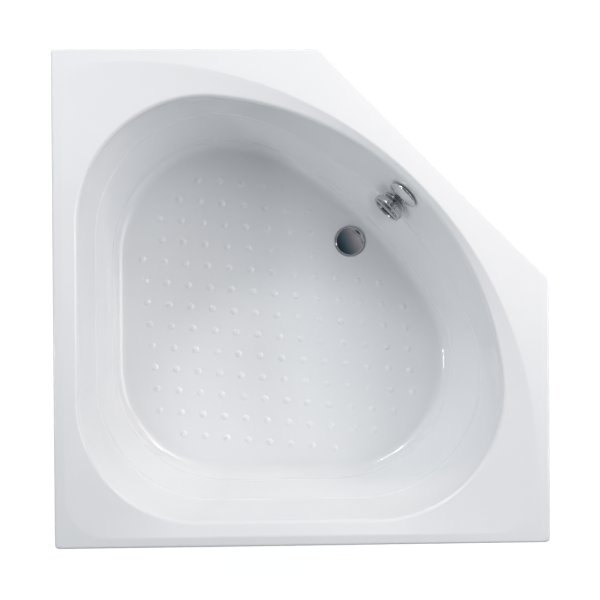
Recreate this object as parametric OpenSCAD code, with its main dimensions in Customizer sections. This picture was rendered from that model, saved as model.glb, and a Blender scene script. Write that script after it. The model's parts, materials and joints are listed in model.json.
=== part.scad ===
// Corner shower bath with a cut-off corner, a cable-worked pop-up waste and a levelling underframe.
// Millimetres, +Z up. The origin is on the floor, under the middle of the square the bath is cut from.
// Places under the bath are given as u, v and z: u runs from the middle to the cut corner, v is square
// to u, to the left when looking along u, and z is the height above the floor.

/* [Outline] */
// Side of the square the bath is cut from
square_side = 1100; // [1040:10:1160]
// Length cut from each of the two sides at the cut corner
corner_cut = 510; // [480:5:530]
// Corner radius of the rim in plan
rim_corner_r = 10; // [6:1:16]
// Height of the rim above the floor
rim_h = 590; // [580:5:620]

/* [Rim] */
// Depth of the turned-down lip
lip_depth = 40; // [38:1:60]
// Thickness of the acrylic with its glass-fibre backing
shell_t = 6; // [5:0.5:7]
// Radius of the rim's top edge
rim_edge_r = 6; // [4:0.5:8]
// Width of the raised band along the two wall sides
band_w = 23; // [22:1:27]
// Least width of the flat deck at the cut corner
deck_w = 55; // [52:1:62]
// Radius of the deck's long arc
deck_r = 902; // [860:1:950]
// Radius of the deck's corner between the two wall sides
deck_corner_r = 95; // [70:5:120]
// Radius of the deck's two other corners
deck_side_r = 90; // [70:5:100]
// Step from the deck down to the corner shelves
shelf_drop = 8; // [6:1:10]
// Fall of the corner shelves from the step to the bowl
shelf_fall = 4; // [3:0.5:5]

/* [Bowl] */
// Depth from the rim to the floor at the waste
bowl_depth = 400; // [380:5:410]
// Distance from the wall sides to the bowl's upper edge
bowl_inset = 47; // [45:1:52]
// Distance from the deck's arc to the bowl's upper edge, on the diagonal
bowl_gap = 10; // [9:1:14]
// Radius of the long arc of the bowl's upper edge
bowl_r = 705; // [680:5:740]
// Radius of the bowl's corner between the two wall sides
bowl_corner_r = 270; // [250:5:300]
// Radius of the bowl's two other corners
bowl_side_r = 288; // [270:2:300]
// Radius that rolls the upper edge over into the wall
bowl_edge_r = 8; // [7:0.5:10]
// How far the wall comes in from top to bottom, on the wall sides
wall_batter = 50; // [40:2:60]
// How far the wall comes in from top to bottom, on the diagonal under the deck
wall_batter_deep = 86; // [78:2:92]
// Radius of the long arc at the foot of the wall
foot_r = 1002; // [950:4:1050]
// Radius of the foot's corner between the two wall sides
foot_corner_r = 283; // [260:1:290]
// Radius of the foot's two other corners
foot_side_r = 290; // [270:1:300]
// How far the waist line of the wall stands out
waist = 5; // [2:0.5:8]
// Radius between wall and floor
fillet_r = 32; // [28:1:34]
// Fall of the floor towards the waste, in mm per metre
floor_fall = 10; // [6:1:14]

/* [Studs] */
// Diameter of an anti-slip stud
stud_d = 20; // [16:1:24]
// Height of a stud
stud_h = 2; // [1.2:0.1:2.6]
// Spacing of the studs along the diagonal
stud_pitch_u = 68; // [60:2:76]
// Spacing of the studs across the diagonal
stud_pitch_v = 84; // [76:2:92]
// Bare band between the studs and the foot of the wall
stud_margin = 60; // [54:2:70]

/* [Waste] */
// Diameter of the waste flange
waste_flange_d = 74; // [72:1:76]
// Diameter of the waste hole in the shell
waste_hole_d = 52; // [51:0.5:54]
// Depth of the recess that holds the flange
waste_recess = 2; // [1.5:0.25:2.5]
// Outer diameter of the flange's tail
waste_tail_d = 48; // [46:0.5:49]
// Clear bore of the waste
waste_bore_d = 40; // [38:0.5:41]
// Diameter of the pop-up plug
plug_d = 68; // [62:1:68]
// Rise of the plug's dome
plug_dome = 2.5; // [1.5:0.5:4]
// Diameter of the plug's stem
stem_d = 8; // [7:0.5:9]
// Outer diameter of the waste body's cup
cup_d = 60; // [58:1:62]
// Wall of the plastic waste parts
cup_t = 3; // [2.5:0.25:3.5]
// Length of the waste body's tail below its cup
tail_len = 24; // [22:0.5:28]
// Reach of the lifter arm from its shaft to the stem
lifter_reach = 22; // [21:0.5:22.5]
// Half of the angle the lifter arm swings through
lifter_half_angle = 13; // [11:0.5:14]
// Diameter of the lifter shaft
lifter_shaft_d = 5; // [4:0.5:6]

/* [Trap] */
// Outer diameter of the waste pipe the trap takes
outlet_d = 40; // [40:0.5:42]
// Outer diameter of the trap's cup
trap_d = 76; // [72:1:80]
// Depth of water that seals the trap
trap_seal_depth = 22; // [18:1:24]
// Length of the trap's outlet spigot
outlet_len = 34; // [30:1:40]

/* [Overflow] */
// Depth of the overflow's middle below the rim
overflow_depth = 75; // [72:1:80]
// Diameter of the overflow's chrome cover
overflow_cover_d = 73; // [70:1:75]
// Diameter of the hole behind the overflow's cover
overflow_hole_d = 50; // [49:0.5:52]
// Outer diameter of the overflow pipe
pipe_d = 32; // [31:0.5:33]
// Wall of the overflow pipe
pipe_t = 2; // [1.5:0.25:2.5]
// Distance of the drop pipe to the right of the diagonal
pipe_side = 110; // [104:2:120]
// Distance from an elbow's corner to its sockets
elbow_r = 24; // [22:1:26]
// Depth of the elbows' sockets
socket_len = 20; // [18:1:24]

/* [Waste control] */
// Depth of the control's middle below the rim
control_depth = 162; // [160:1:170]
// Diameter of the turn knob
knob_d = 74; // [72:1:78]
// Thickness of the turn knob
knob_t = 24; // [21:0.5:26]
// Diameter of the knob's neck
knob_neck_d = 50; // [46:1:54]
// Wall left around the knob's finger recesses
knob_wall = 4; // [3:0.5:5]
// Width of the grip between the two finger recesses
grip_w = 14; // [12:0.5:18]
// Depth of the finger recesses
recess_depth = 10; // [8:0.5:11]
// Diameter of the rosette behind the knob
rosette_d = 60; // [54:1:64]
// Thickness of the rosette behind the knob
rosette_t = 6; // [5:0.5:8]
// Diameter of the hole for the control
control_hole_d = 24; // [23:0.5:26]
// Diameter of the control's spindle, which the cable winds on
spindle_d = 6; // [5:0.5:7]
// Diameter of the control's housing
housing_d = 48; // [44:1:50]
// Depth of the control's housing
housing_len = 28; // [26:1:30]
// Outer diameter of the control cable
cable_d = 5; // [4:0.5:6]
// Bend radius of the control cable
cable_bend_r = 40; // [34:1:42]

/* [Underframe] */
// Thickness of the baseboard
board_t = 18; // [15:1:22]
// How far the baseboard's edge lies inside the foot of the wall
board_inset = 42; // [40:1:50]
// Half width of the baseboard's open slot round the waste
board_slot = 75; // [72:1:80]
// Height of the frame's tubes
tube_h = 40; // [36:1:42]
// Width of the frame's tubes
tube_w = 30; // [26:1:34]
// Wall of the frame's tubes
tube_t = 2; // [1.5:0.25:3]
// Distance from the baseboard's side corners to the middle of the side rails
rail_side_inset = 166; // [160:2:176]
// Distance from the baseboard's front edge to the front ends of the side rails
rail_front_inset = 34; // [30:1:44]
// Distance from the baseboard's rear corner to the rear ends of the side rails
rail_rear_inset = 151; // [145:1:160]
// Distance from the waste to the middle of the front cross rail
cross_front_gap = 133; // [125:1:145]
// Distance from the rear ends of the side rails to the middle of the rear cross rail
cross_rear_gap = 60; // [50:1:68]
// Distance from the baseboard's rear corner to the rear end of the corner rail
corner_rail_inset = 6; // [5:1:14]
// Distance of a foot from the end of its rail
foot_setback = 25; // [20:1:30]
// Thickness of the rim battens
batten_t = 14; // [12:1:14]
// Height of the rim battens
batten_h = 36; // [34:1:38]

/* [Feet] */
// Diameter of the threaded stud of a foot
foot_stud_d = 12; // [10:1:14]
// Diameter of a foot pad
foot_pad_d = 54; // [46:2:60]
// Height of a foot pad
foot_pad_h = 14; // [12:1:18]
// Across-corners size of the lock nuts and welded bushes
nut_d = 22; // [21:1:24]
// Height of a lock nut
nut_h = 8; // [6:1:10]
// Height of a welded bush
bush_h = 10; // [8:1:14]
// How far a stud stands up into its rail
stud_top = 16; // [15.5:0.5:16]

/* [Wall clips] */
// Width of a wall clip
clip_w = 40; // [36:1:44]
// Length of the clip's leg on the wall
clip_drop = 50; // [45:1:60]
// Length of the clip's leg under the batten
clip_reach = 20; // [19:1:21]
// Thickness of the clip
clip_t = 2; // [1.5:0.25:3]
// Diameter of the clip's two wall holes
clip_hole_d = 7; // [5:0.5:8]
// Spacing of the clip's two wall holes
clip_pitch = 22; // [20:1:24]
// Distance of the clips from the middle of a side
clip_place = 330; // [300:10:360]
// Diameter of the wood screws
screw_d = 4; // [3.5:0.25:5]

/* [Clearances] */
// Gap between parts that are bedded or clamped on each other
seat_gap = 0.2; // [0.1:0.05:0.3]
// Radial gap of a shaft that turns or slides in its bore
run_gap = 0.05; // [0.03:0.01:0.08]
// Radial gap of a pipe in its socket
socket_gap = 0.15; // [0.1:0.05:0.25]

/* [Hidden] */

$fn = 64;
acrylic = "white";
chrome = [0.75, 0.77, 0.8];
steel = [0.62, 0.64, 0.66];
dark_rubber = [0.12, 0.12, 0.12];
grey_plastic = [0.55, 0.56, 0.58];
timber = [0.8, 0.65, 0.45];

// ---- plan outlines -------------------------------------------------------------------------------
// A curved outline is [side, reach, arc radius, corner radius, side corner radius]: two straight sides
// at the distance side from the middle, and one long arc that crosses the diagonal at reach. It is the
// same on both sides of the diagonal, so only the half from 45 to 225 degrees is worked out.
half_side = square_side / 2;
cut_reach = (square_side - corner_cut) / sqrt(2);
deck_line = [half_side - band_w, cut_reach - deck_w, deck_r, deck_corner_r, deck_side_r];
bowl_line = [half_side - bowl_inset, deck_line[1] - bowl_gap, bowl_r, bowl_corner_r, bowl_side_r];
foot_line = [bowl_line[0] - wall_batter, bowl_line[1] - wall_batter_deep, foot_r, foot_corner_r,
             foot_side_r];

function grown(line, by) = [for (value = line) value + by];
function between(a, b, share) = a * (1 - share) + b * share;
function full_angle(x, y) = atan2(y, x) < 0 ? atan2(y, x) + 360 : atan2(y, x);
function folded(angle) = 45 + abs((angle - 45 + 540) % 360 - 180);
function to_circle(cx, cy, r, angle) =
    let (along = cx * cos(angle) + cy * sin(angle))
    along + sqrt(max(0, along * along - cx * cx - cy * cy + r * r));

// Distance from the middle to a curved outline, in the direction of an angle
function curve_reach(line, angle) =
    let (turn = folded(angle),
         back = -(line[2] - line[1]) / sqrt(2),
         corner = -line[0] + line[3],
         side_x = -line[0] + line[4],
         side_y = back + sqrt(pow(line[2] - line[4], 2) - pow(side_x - back, 2)),
         stretch = line[2] / (line[2] - line[4]),
         arc_end = full_angle(back + stretch * (side_x - back), back + stretch * (side_y - back)))
    turn < arc_end ? to_circle(back, back, line[2], turn)
    : turn < full_angle(-line[0], side_y) ? to_circle(side_x, side_y, line[4], turn)
    : turn < full_angle(-line[0], corner) ? -line[0] / cos(turn)
    : to_circle(corner, corner, line[3], turn);

// Distance from the middle to the five-sided rim outline grown by an amount
rim_cut_x = (cut_reach - rim_corner_r) * sqrt(2) - half_side + rim_corner_r;
rim_cut_start = full_angle(rim_cut_x + rim_corner_r / sqrt(2),
                           half_side - rim_corner_r + rim_corner_r / sqrt(2));
rim_cut_end = full_angle(rim_cut_x, half_side);
rim_side_start = full_angle(-half_side + rim_corner_r, half_side);
rim_side_end = full_angle(-half_side, half_side - rim_corner_r);
rim_corner_start = full_angle(-half_side, -half_side + rim_corner_r);
function rim_reach(by, angle) =
    let (turn = folded(angle),
         side = half_side + by,
         inner = half_side - rim_corner_r,
         r = rim_corner_r + by)
    turn < rim_cut_start ? (cut_reach + by) / cos(turn - 45)
    : turn < rim_cut_end ? to_circle(rim_cut_x, inner, r, turn)
    : turn < rim_side_start ? side / sin(turn)
    : turn < rim_side_end ? to_circle(-inner, inner, r, turn)
    : turn < rim_corner_start ? -side / cos(turn)
    : to_circle(-inner, -inner, r, turn);

// Directions of the shell's points: even steps along the cut, and closer ones towards the two kinds of
// square corner, where all the outlines bend most
function steps(from, to, count) = [for (i = [0:count - 1]) from + (to - from) * i / count];
function steps_to_corner(from, to, count) =
    [for (i = [0:count - 1]) from + (to - from) * sin(90 * i / count)];
function steps_both_corners(from, to, count) =
    [for (i = [0:count - 1]) from + (to - from) * (1 - cos(180 * i / count)) / 2];
half_turn = concat(steps(45, rim_cut_start, 12), steps(rim_cut_start, rim_cut_end, 2),
                   steps_to_corner(rim_cut_end, rim_side_start, 16),
                   steps(rim_side_start, rim_side_end, 2),
                   steps_both_corners(rim_side_end, rim_corner_start, 26), [rim_corner_start]);
directions = concat(half_turn, [225], [for (i = [len(half_turn) - 1:-1:1]) 450 - half_turn[i]]);

// ---- heights --------------------------------------------------------------------------------------
floor_z = rim_h - bowl_depth;
floor_under = floor_z - shell_t;
shelf_z = rim_h - shelf_drop;
bowl_z = shelf_z - shelf_fall;
wall_top = bowl_z - bowl_edge_r;
wall_foot = floor_z + fillet_r;
board_bottom = floor_under - seat_gap - board_t;
rail_top = board_bottom - seat_gap;
rail_bottom = rail_top - tube_h;
batten_bottom = rim_h - shell_t - seat_gap - batten_h;

// ---- shell surface --------------------------------------------------------------------------------
waste_recess_r = waste_flange_d / 2 + 4;
waste_u = foot_line[1] - fillet_r - waste_recess_r;
waste_at = [waste_u / sqrt(2), waste_u / sqrt(2)];
wall_top_line = grown(bowl_line, -bowl_edge_r);

// Rise of the floor above its height at the waste
function floor_rise(x, y) = floor_fall / 1000 * (waste_u - (x + y) / sqrt(2));

// The wall's outline at a share of its height, from 0 at the top to 1 at the foot
waist_at = 0.54;
waist_soft = 0.06;
function waist_out(share) =
    let (plain = waist * min(share / waist_at, (1 - share) / (1 - waist_at)),
         near = max(0, 1 - abs(share - waist_at) / waist_soft))
    plain - waist * waist_soft * near * near;
function wall_line(share) = grown(between(wall_top_line, foot_line, share), waist_out(share));

// A ring is [is it a rim ring, outline or growth, height, share of the floor's fall that it takes]
wall_shares = [0, 0.25, waist_at - waist_soft, waist_at, waist_at + waist_soft, 0.8, 1];
step_r = shelf_drop / 2;
rim_rings = [
    [true, 0, rim_h - lip_depth, 0],
    for (turn = [0, 45, 90])
        [true, -rim_edge_r * (1 - cos(turn)), rim_h - rim_edge_r * (1 - sin(turn)), 0]];
step_rings = [
    for (turn = [0, 45, 90])
        [false, grown(deck_line, -step_r * sin(turn)), rim_h - step_r * (1 - cos(turn)), 0],
    for (turn = [45, 0])
        [false, grown(deck_line, -step_r * (2 - sin(turn))), shelf_z + step_r * (1 - cos(turn)), 0]];
edge_rings = [for (turn = [0, 30, 60])
    [false, grown(bowl_line, -bowl_edge_r * sin(turn)), bowl_z - bowl_edge_r * (1 - cos(turn)), 0]];
wall_rings = [for (share = wall_shares)
    [false, wall_line(share), between(wall_top, wall_foot, share), share]];
fillet_rings = [for (turn = [15:15:90])
    [false, grown(foot_line, -fillet_r * (1 - cos(turn))), floor_z + fillet_r * (1 - sin(turn)), 1]];
outer_fillet_rings = [for (turn = [90, 60, 30, 0])
    [false, grown(foot_line, (fillet_r + shell_t) * cos(turn) - fillet_r),
     floor_z + fillet_r - (fillet_r + shell_t) * sin(turn), 0]];
outer_wall_rings = [for (share = [waist_at, 0])
    [false, grown(wall_line(share), shell_t), between(wall_top, wall_foot, share), 0]];
outer_rim_rings = [
    [false, bowl_line, bowl_z - shell_t, 0],
    [false, grown(deck_line, -shelf_drop), shelf_z - shell_t, 0],
    [false, deck_line, rim_h - step_r - shell_t / sqrt(2), 0],
    [false, grown(deck_line, shell_t / 3), rim_h - shell_t, 0],
    [true, -shell_t - 2, rim_h - shell_t, 0],
    [true, -shell_t, rim_h - shell_t - 2, 0],
    [true, -shell_t, rim_h - lip_depth, 0]];
rings = concat(rim_rings, step_rings, edge_rings, wall_rings, fillet_rings,
               outer_fillet_rings, outer_wall_rings, outer_rim_rings);
inner_count = len(rim_rings) + len(step_rings) + len(edge_rings) + len(wall_rings) + len(fillet_rings);

function ring_point(ring, angle) =
    let (reach = ring[0] ? rim_reach(ring[1], angle) : curve_reach(ring[1], angle),
         x = reach * cos(angle),
         y = reach * sin(angle))
    [x, y, ring[2] + ring[3] * floor_rise(x, y)];

// ---- wall frame on the diagonal ---------------------------------------------------------------------
// Distance u of the wall's inner face at a height, and how far the wall leans out there
wall_profile = [for (i = [len(wall_shares) - 1:-1:0])
    [between(wall_top, wall_foot, wall_shares[i]), wall_line(wall_shares[i])[1]]];
function wall_u(z) = lookup(z, wall_profile);
lean_span = 25;
function wall_lean(z) = atan2(wall_u(z + lean_span) - wall_u(z - lean_span), 2 * lean_span);

// Puts a fitting on the wall: its z axis points into the bowl and its y axis up the wall. Its origin
// lies spot_depth inside the wall, on the flat that is cut for it.
spot_depth = 1.2;
pad_depth = 8;
pad_rim = 6;
overflow_z = rim_h - overflow_depth;
control_z = rim_h - control_depth;
module on_wall(z) {
    lean = wall_lean(z);
    s = sin(lean);
    c = cos(lean);
    u = wall_u(z) + spot_depth * c;
    h = z - spot_depth * s;
    d = sqrt(0.5);
    multmatrix([[d, s * d, -c * d, u * d],
                [-d, s * d, -c * d, u * d],
                [0, c, s, h],
                [0, 0, 0, 1]]) children();
}
module on_diagonal() rotate([0, 0, 45]) children();
module at_waste() translate([waste_at[0], waste_at[1], 0]) rotate([0, 0, 45]) children();

// ---- shared shapes --------------------------------------------------------------------------------
module ring(outer_r, inner_r, bottom, top) {
    translate([0, 0, bottom]) difference() {
        cylinder(r = outer_r, h = top - bottom);
        translate([0, 0, -1]) cylinder(r = inner_r, h = top - bottom + 2);
    }
}
module box_tube(length, holes = []) {
    difference() {
        translate([0, -tube_w / 2, 0]) cube([length, tube_w, tube_h]);
        translate([-1, -tube_w / 2 + tube_t, tube_t])
            cube([length + 2, tube_w - 2 * tube_t, tube_h - 2 * tube_t]);
        for (hole = holes) translate([hole[0], 0, hole[2]]) cylinder(d = hole[1], h = tube_h + 2);
    }
}

// ---- bath shell -------------------------------------------------------------------------------------
module shell_body() {
    count = len(directions);
    last = len(rings) - 1;
    points = concat([for (ring = rings, angle = directions) ring_point(ring, angle)],
                    [[0, 0, floor_z + floor_rise(0, 0)], [0, 0, floor_under]]);
    function corner(ring_index, i) = ring_index * count + i % count;
    floor_fan = [for (i = [0:count - 1])
        [corner(inner_count - 1, i), corner(inner_count - 1, i + 1), (last + 1) * count]];
    under_fan = [for (i = [0:count - 1])
        [corner(inner_count, i + 1), corner(inner_count, i), (last + 1) * count + 1]];
    // The inner rings run from the lip to the floor and the outer rings back to the lip
    bands = [for (k = [0:last]) if (k != inner_count - 1) for (i = [0:count - 1])
        let (next = k == last ? 0 : k + 1)
        each [[corner(k, i), corner(k, i + 1), corner(next, i + 1)],
              [corner(k, i), corner(next, i + 1), corner(next, i)]]];
    polyhedron(points, [for (face = concat(bands, floor_fan, under_fan)) [face[2], face[1], face[0]]],
               convexity = 8);
}
module floor_studs() {
    rows = ceil(half_side / stud_pitch_v) * 2;
    waste_clear = waste_recess_r + stud_d / 2 + 8;
    for (i = [-rows:rows], j = [-rows:rows])
        if ((i + j) % 2 == 0) {
            u = i * stud_pitch_u / 2;
            v = j * stud_pitch_v / 2;
            in_floor = norm([u, v]) < curve_reach(grown(foot_line, -stud_margin), 45 + atan2(v, u));
            if (in_floor && norm([u - waste_u, v]) > waste_clear)
                translate([u, v, floor_z + floor_fall / 1000 * (waste_u - u) - 1])
                    cylinder(d1 = stud_d, d2 = stud_d / 2, h = stud_h + 1, $fn = 16);
        }
}
module bath_shell() {
    color(acrylic) difference() {
        union() {
            shell_body();
            on_diagonal() floor_studs();
            on_wall(overflow_z) translate([0, 0, -pad_depth])
                cylinder(d = overflow_hole_d + 2 * pad_rim + 8, h = pad_depth / 2);
            on_wall(control_z) translate([0, 0, -pad_depth])
                cylinder(d = housing_d + pad_rim, h = pad_depth / 2);
        }
        on_wall(overflow_z) {
            cylinder(d = overflow_cover_d + 2, h = pad_depth);
            translate([0, 0, -2 * pad_depth]) cylinder(d = overflow_hole_d, h = 3 * pad_depth);
        }
        on_wall(control_z) {
            cylinder(d = rosette_d + 2, h = pad_depth);
            translate([0, 0, -2 * pad_depth]) cylinder(d = control_hole_d, h = 3 * pad_depth);
        }
        at_waste() {
            translate([0, 0, floor_z - waste_recess]) cylinder(r = waste_recess_r, h = fillet_r / 2);
            translate([0, 0, floor_under - 1]) cylinder(d = waste_hole_d, h = shell_t + 2);
        }
    }
}

// ---- baseboard and battens --------------------------------------------------------------------------
screw_hole_d = screw_d + 2 * run_gap;
rail_screw_d = 5;
rail_screw_len = 12;
board_line = grown(foot_line, -board_inset);
module baseboard() {
    color(timber) difference() {
        translate([0, 0, board_bottom]) linear_extrude(board_t) polygon(
            [for (angle = [0:6:354]) curve_reach(board_line, angle) * [cos(angle), sin(angle)]]);
        at_waste() translate([0, 0, board_bottom - 1]) {
            cylinder(r = board_slot, h = board_t + 2);
            translate([0, -board_slot, 0]) cube([half_side, 2 * board_slot, board_t + 2]);
        }
        at_rail_screws() translate([0, 0, board_bottom - 1])
            cylinder(d = rail_screw_d + 2 * run_gap, h = 1 + rail_screw_len + 1);
    }
}

lip_in = half_side - shell_t - seat_gap;
cut_in = cut_reach - shell_t - seat_gap;
batten_join = batten_t + seat_gap;
corner_clear = 10;
batten_end = cut_in * sqrt(2) - lip_in;
batten_arris = 2.5;
module batten(length) {
    color(timber) translate([length, 0, batten_bottom]) rotate([90, 0, -90]) linear_extrude(length)
        polygon([[0, 0], [batten_t, 0], [batten_t, batten_h], [batten_arris, batten_h],
                 [0, batten_h - batten_arris]]);
}
// A screw hole under each wall clip
module clip_holes() {
    for (place = [-clip_place, clip_place])
        translate([place, -batten_t / 2, batten_bottom - 1])
            cylinder(d = screw_hole_d, h = 1 + clip_screw_len + 1);
}
module rim_batten_left() {
    difference() {
        rotate([0, 0, 90]) translate([-lip_in + corner_clear, lip_in, 0])
            batten(2 * lip_in - 2 * corner_clear);
        rotate([0, 0, 90]) translate([0, lip_in, 0]) clip_holes();
    }
}
module rim_batten_near() {
    difference() {
        rotate([0, 0, 180]) translate([-lip_in + corner_clear, lip_in, 0])
            batten(2 * lip_in - corner_clear - batten_join);
        rotate([0, 0, 180]) translate([0, lip_in, 0]) clip_holes();
    }
}
module rim_batten_right() {
    rotate([0, 0, -90]) translate([-batten_end + corner_clear, lip_in, 0])
        batten(batten_end - corner_clear + lip_in - batten_join);
}
module rim_batten_far() {
    translate([-lip_in + batten_join, lip_in, 0])
        batten(lip_in - batten_join + batten_end - corner_clear);
}
module rim_batten_cut() {
    reach = (lip_in - batten_join) * sqrt(2) - cut_in;
    rotate([0, 0, -45]) translate([-reach, cut_in, 0]) batten(2 * reach);
}

// ---- underframe -------------------------------------------------------------------------------------
rail_v = curve_reach(board_line, 135) - rail_side_inset;
rail_front = board_line[1] - rail_front_inset;
rail_rear = rail_rear_inset - curve_reach(board_line, 225);
cross_front = waste_u - cross_front_gap;
cross_rear = rail_rear + cross_rear_gap;
corner_rail_end = corner_rail_inset - curve_reach(board_line, 225);
cross_len = 2 * rail_v - tube_w - 2 * seat_gap;
// Places of the feet as u, v
feet = [[rail_front - foot_setback, rail_v], [rail_front - foot_setback, -rail_v],
        [rail_rear + foot_setback, rail_v], [rail_rear + foot_setback, -rail_v],
        [corner_rail_end + foot_setback, 0]];
stud_hole_d = foot_stud_d + 1;
// Places of the rail screws as u, v
screw_gap = 60;
side_screw_u = [(rail_rear + cross_rear) / 2 + screw_gap, cross_front - screw_gap];
cross_screw_v = rail_v / 2;
rail_screws_at = [for (u = side_screw_u, v = [-rail_v, rail_v]) [u, v],
                  for (v = [-cross_screw_v, cross_screw_v]) [cross_front, v],
                  for (v = [-cross_screw_v, cross_screw_v]) [cross_rear, v]];
module at_rail_screws() on_diagonal()
    for (place = rail_screws_at) translate([place[0], place[1], 0]) children();
module side_rail(v) {
    foot_holes = [for (u = [rail_rear + foot_setback, rail_front - foot_setback])
        [u - rail_rear, stud_hole_d, -tube_h]];
    screw_holes = [for (u = side_screw_u) [u - rail_rear, rail_screw_d + 2 * run_gap, -1]];
    color(steel) on_diagonal() translate([rail_rear, v, rail_bottom])
        box_tube(rail_front - rail_rear, concat(foot_holes, screw_holes));
}
module cross_rail(u) {
    holes = [for (v = [-cross_screw_v, cross_screw_v])
        [v + cross_len / 2, rail_screw_d + 2 * run_gap, -1]];
    color(steel) on_diagonal() translate([u, -cross_len / 2, rail_bottom]) rotate([0, 0, 90])
        box_tube(cross_len, holes);
}
module side_rail_left() side_rail(rail_v);
module side_rail_right() side_rail(-rail_v);
module cross_rail_front() cross_rail(cross_front);
module cross_rail_rear() cross_rail(cross_rear);
module corner_rail() {
    length = cross_rear - tube_w / 2 - seat_gap - corner_rail_end;
    color(steel) on_diagonal() translate([corner_rail_end, 0, rail_bottom])
        box_tube(length, [[foot_setback, stud_hole_d, -tube_h]]);
}
module rail_screws() {
    head_h = 3;
    color(steel) at_rail_screws() translate([0, 0, rail_bottom - seat_gap - head_h]) {
        cylinder(d = 2 * rail_screw_d, h = head_h);
        cylinder(d = rail_screw_d, h = head_h + 3 * seat_gap + tube_h + rail_screw_len);
    }
}

// ---- feet -------------------------------------------------------------------------------------------
bush_bottom = rail_bottom - seat_gap - bush_h;
nut_bottom = bush_bottom - seat_gap - nut_h;
pad_socket = 6;
module at_feet() on_diagonal() for (foot = feet) translate([foot[0], foot[1], 0]) children();
module at_foot(number)
    on_diagonal() translate([feet[number - 1][0], feet[number - 1][1], 0]) children();
module threaded_nut(height, sides) {
    difference() {
        cylinder(d = nut_d, h = height, $fn = sides);
        translate([0, 0, -1]) cylinder(r = foot_stud_d / 2 + run_gap, h = height + 2);
    }
}
module foot_bushes() {
    color(steel) at_feet() translate([0, 0, bush_bottom]) threaded_nut(bush_h, 48);
}
module foot_lock_nuts() {
    color(steel) at_feet() translate([0, 0, nut_bottom]) threaded_nut(nut_h, 6);
}
module foot_stud(number) {
    bottom = foot_pad_h - pad_socket + seat_gap;
    color(steel) at_foot(number) translate([0, 0, bottom])
        cylinder(d = foot_stud_d, h = rail_bottom + stud_top - bottom);
}
module foot_pad(number) {
    rim = 5;
    neck_r = foot_stud_d / 2 + 4;
    color(dark_rubber) at_foot(number) difference() {
        rotate_extrude() polygon([[0, 0], [foot_pad_d / 2 - 1, 0], [foot_pad_d / 2, 1],
            [foot_pad_d / 2, rim], [neck_r + 3, rim + 3], [neck_r, foot_pad_h], [0, foot_pad_h]]);
        translate([0, 0, foot_pad_h - pad_socket])
            cylinder(r = foot_stud_d / 2 + socket_gap, h = pad_socket + 1);
    }
}

// ---- wall clips -------------------------------------------------------------------------------------
clip_top = batten_bottom - seat_gap;
clip_screw_len = 20;
wall_hole_z = clip_top - clip_drop + clip_hole_d / 2 + 8;
// Two clips on each wall side. The clip's y axis points out to the wall.
module at_clips() {
    for (turn = [90, 180], place = [-clip_place, clip_place])
        rotate([0, 0, turn]) translate([place, half_side, 0]) children();
}
module wall_clips() {
    color(steel) at_clips() difference() {
        union() {
            translate([-clip_w / 2, -clip_t, clip_top - clip_drop]) cube([clip_w, clip_t, clip_drop]);
            translate([-clip_w / 2, -clip_reach, clip_top - clip_t])
                cube([clip_w, clip_reach, clip_t]);
        }
        for (side = [-1, 1]) translate([side * clip_pitch / 2, 1, wall_hole_z])
            rotate([90, 0, 0]) cylinder(d = clip_hole_d, h = clip_t + 2);
        translate([0, lip_in - half_side - batten_t / 2, clip_top - clip_t - 1])
            cylinder(d = screw_hole_d, h = clip_t + 2);
    }
}
module clip_screws() {
    head_h = 2.5;
    color(steel) at_clips()
        translate([0, lip_in - half_side - batten_t / 2, clip_top - clip_t - seat_gap - head_h]) {
            cylinder(d = 2 * screw_d, h = head_h);
            cylinder(d = screw_d, h = head_h + 2 * seat_gap + clip_t + clip_screw_len);
        }
}

// ---- pop-up waste -----------------------------------------------------------------------------------
washer_gap = seat_gap / 2;
upper_seal_t = 1.5;
lower_seal_t = 3;
flange_under = floor_z - waste_recess + upper_seal_t + 2 * washer_gap;
flange_seat = flange_under + 1.8;
flange_top = flange_seat + 2.2;
flange_r = waste_flange_d / 2;
tail_r = waste_tail_d / 2;
bore_r = waste_bore_d / 2;
tail_bottom = floor_under - 14;
body_top = floor_under - 2 * washer_gap - lower_seal_t;
guide_h = 7;
guide_r = stem_d / 2 + 3;
cup_r = cup_d / 2;
cup_floor = floor_under - 65;
body_outlet_r = bore_r;
body_outlet_bottom = cup_floor - tail_len;
lifter_z = floor_under - 30;
lifter_tip_r = 3;
stem_rest = lifter_z - lifter_reach * tan(lifter_half_angle) + lifter_tip_r + 0.3;
plug_under = flange_seat + 2;
stem_top = plug_under + 1.2;
inlet_z = cup_floor + 14;
horn_len = 12;
cable_z = lifter_z + horn_len;

module waste_upper_seal() {
    bottom = floor_z - waste_recess + washer_gap;
    color(dark_rubber) at_waste() ring(flange_r - 3, tail_r + 0.5, bottom, bottom + upper_seal_t);
}
module waste_flange() {
    lip_r = plug_d / 2 + 1;
    color(chrome) at_waste() {
        rotate_extrude() polygon([
            [bore_r, tail_bottom], [tail_r, tail_bottom], [tail_r, flange_under],
            [flange_r, flange_under], [flange_r, flange_top - 0.6], [flange_r - 0.6, flange_top],
            [lip_r + 0.3, flange_top], [lip_r, flange_top - 0.3], [lip_r, flange_seat],
            [bore_r + 1, flange_seat], [bore_r, flange_seat - 1]]);
        difference() {
            union() {
                translate([0, 0, tail_bottom]) cylinder(r = guide_r, h = guide_h);
                for (turn = [30, 150, 270]) rotate([0, 0, turn]) translate([0, -1.5, tail_bottom])
                    cube([bore_r + 1, 3, guide_h - 2]);
            }
            translate([0, 0, tail_bottom - 1]) cylinder(r = stem_d / 2 + run_gap, h = guide_h + 2);
        }
    }
}
module waste_lower_seal() {
    color(dark_rubber) at_waste()
        ring(flange_r - 1, tail_r + 0.5, body_top + washer_gap, body_top + washer_gap + lower_seal_t);
}
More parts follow.
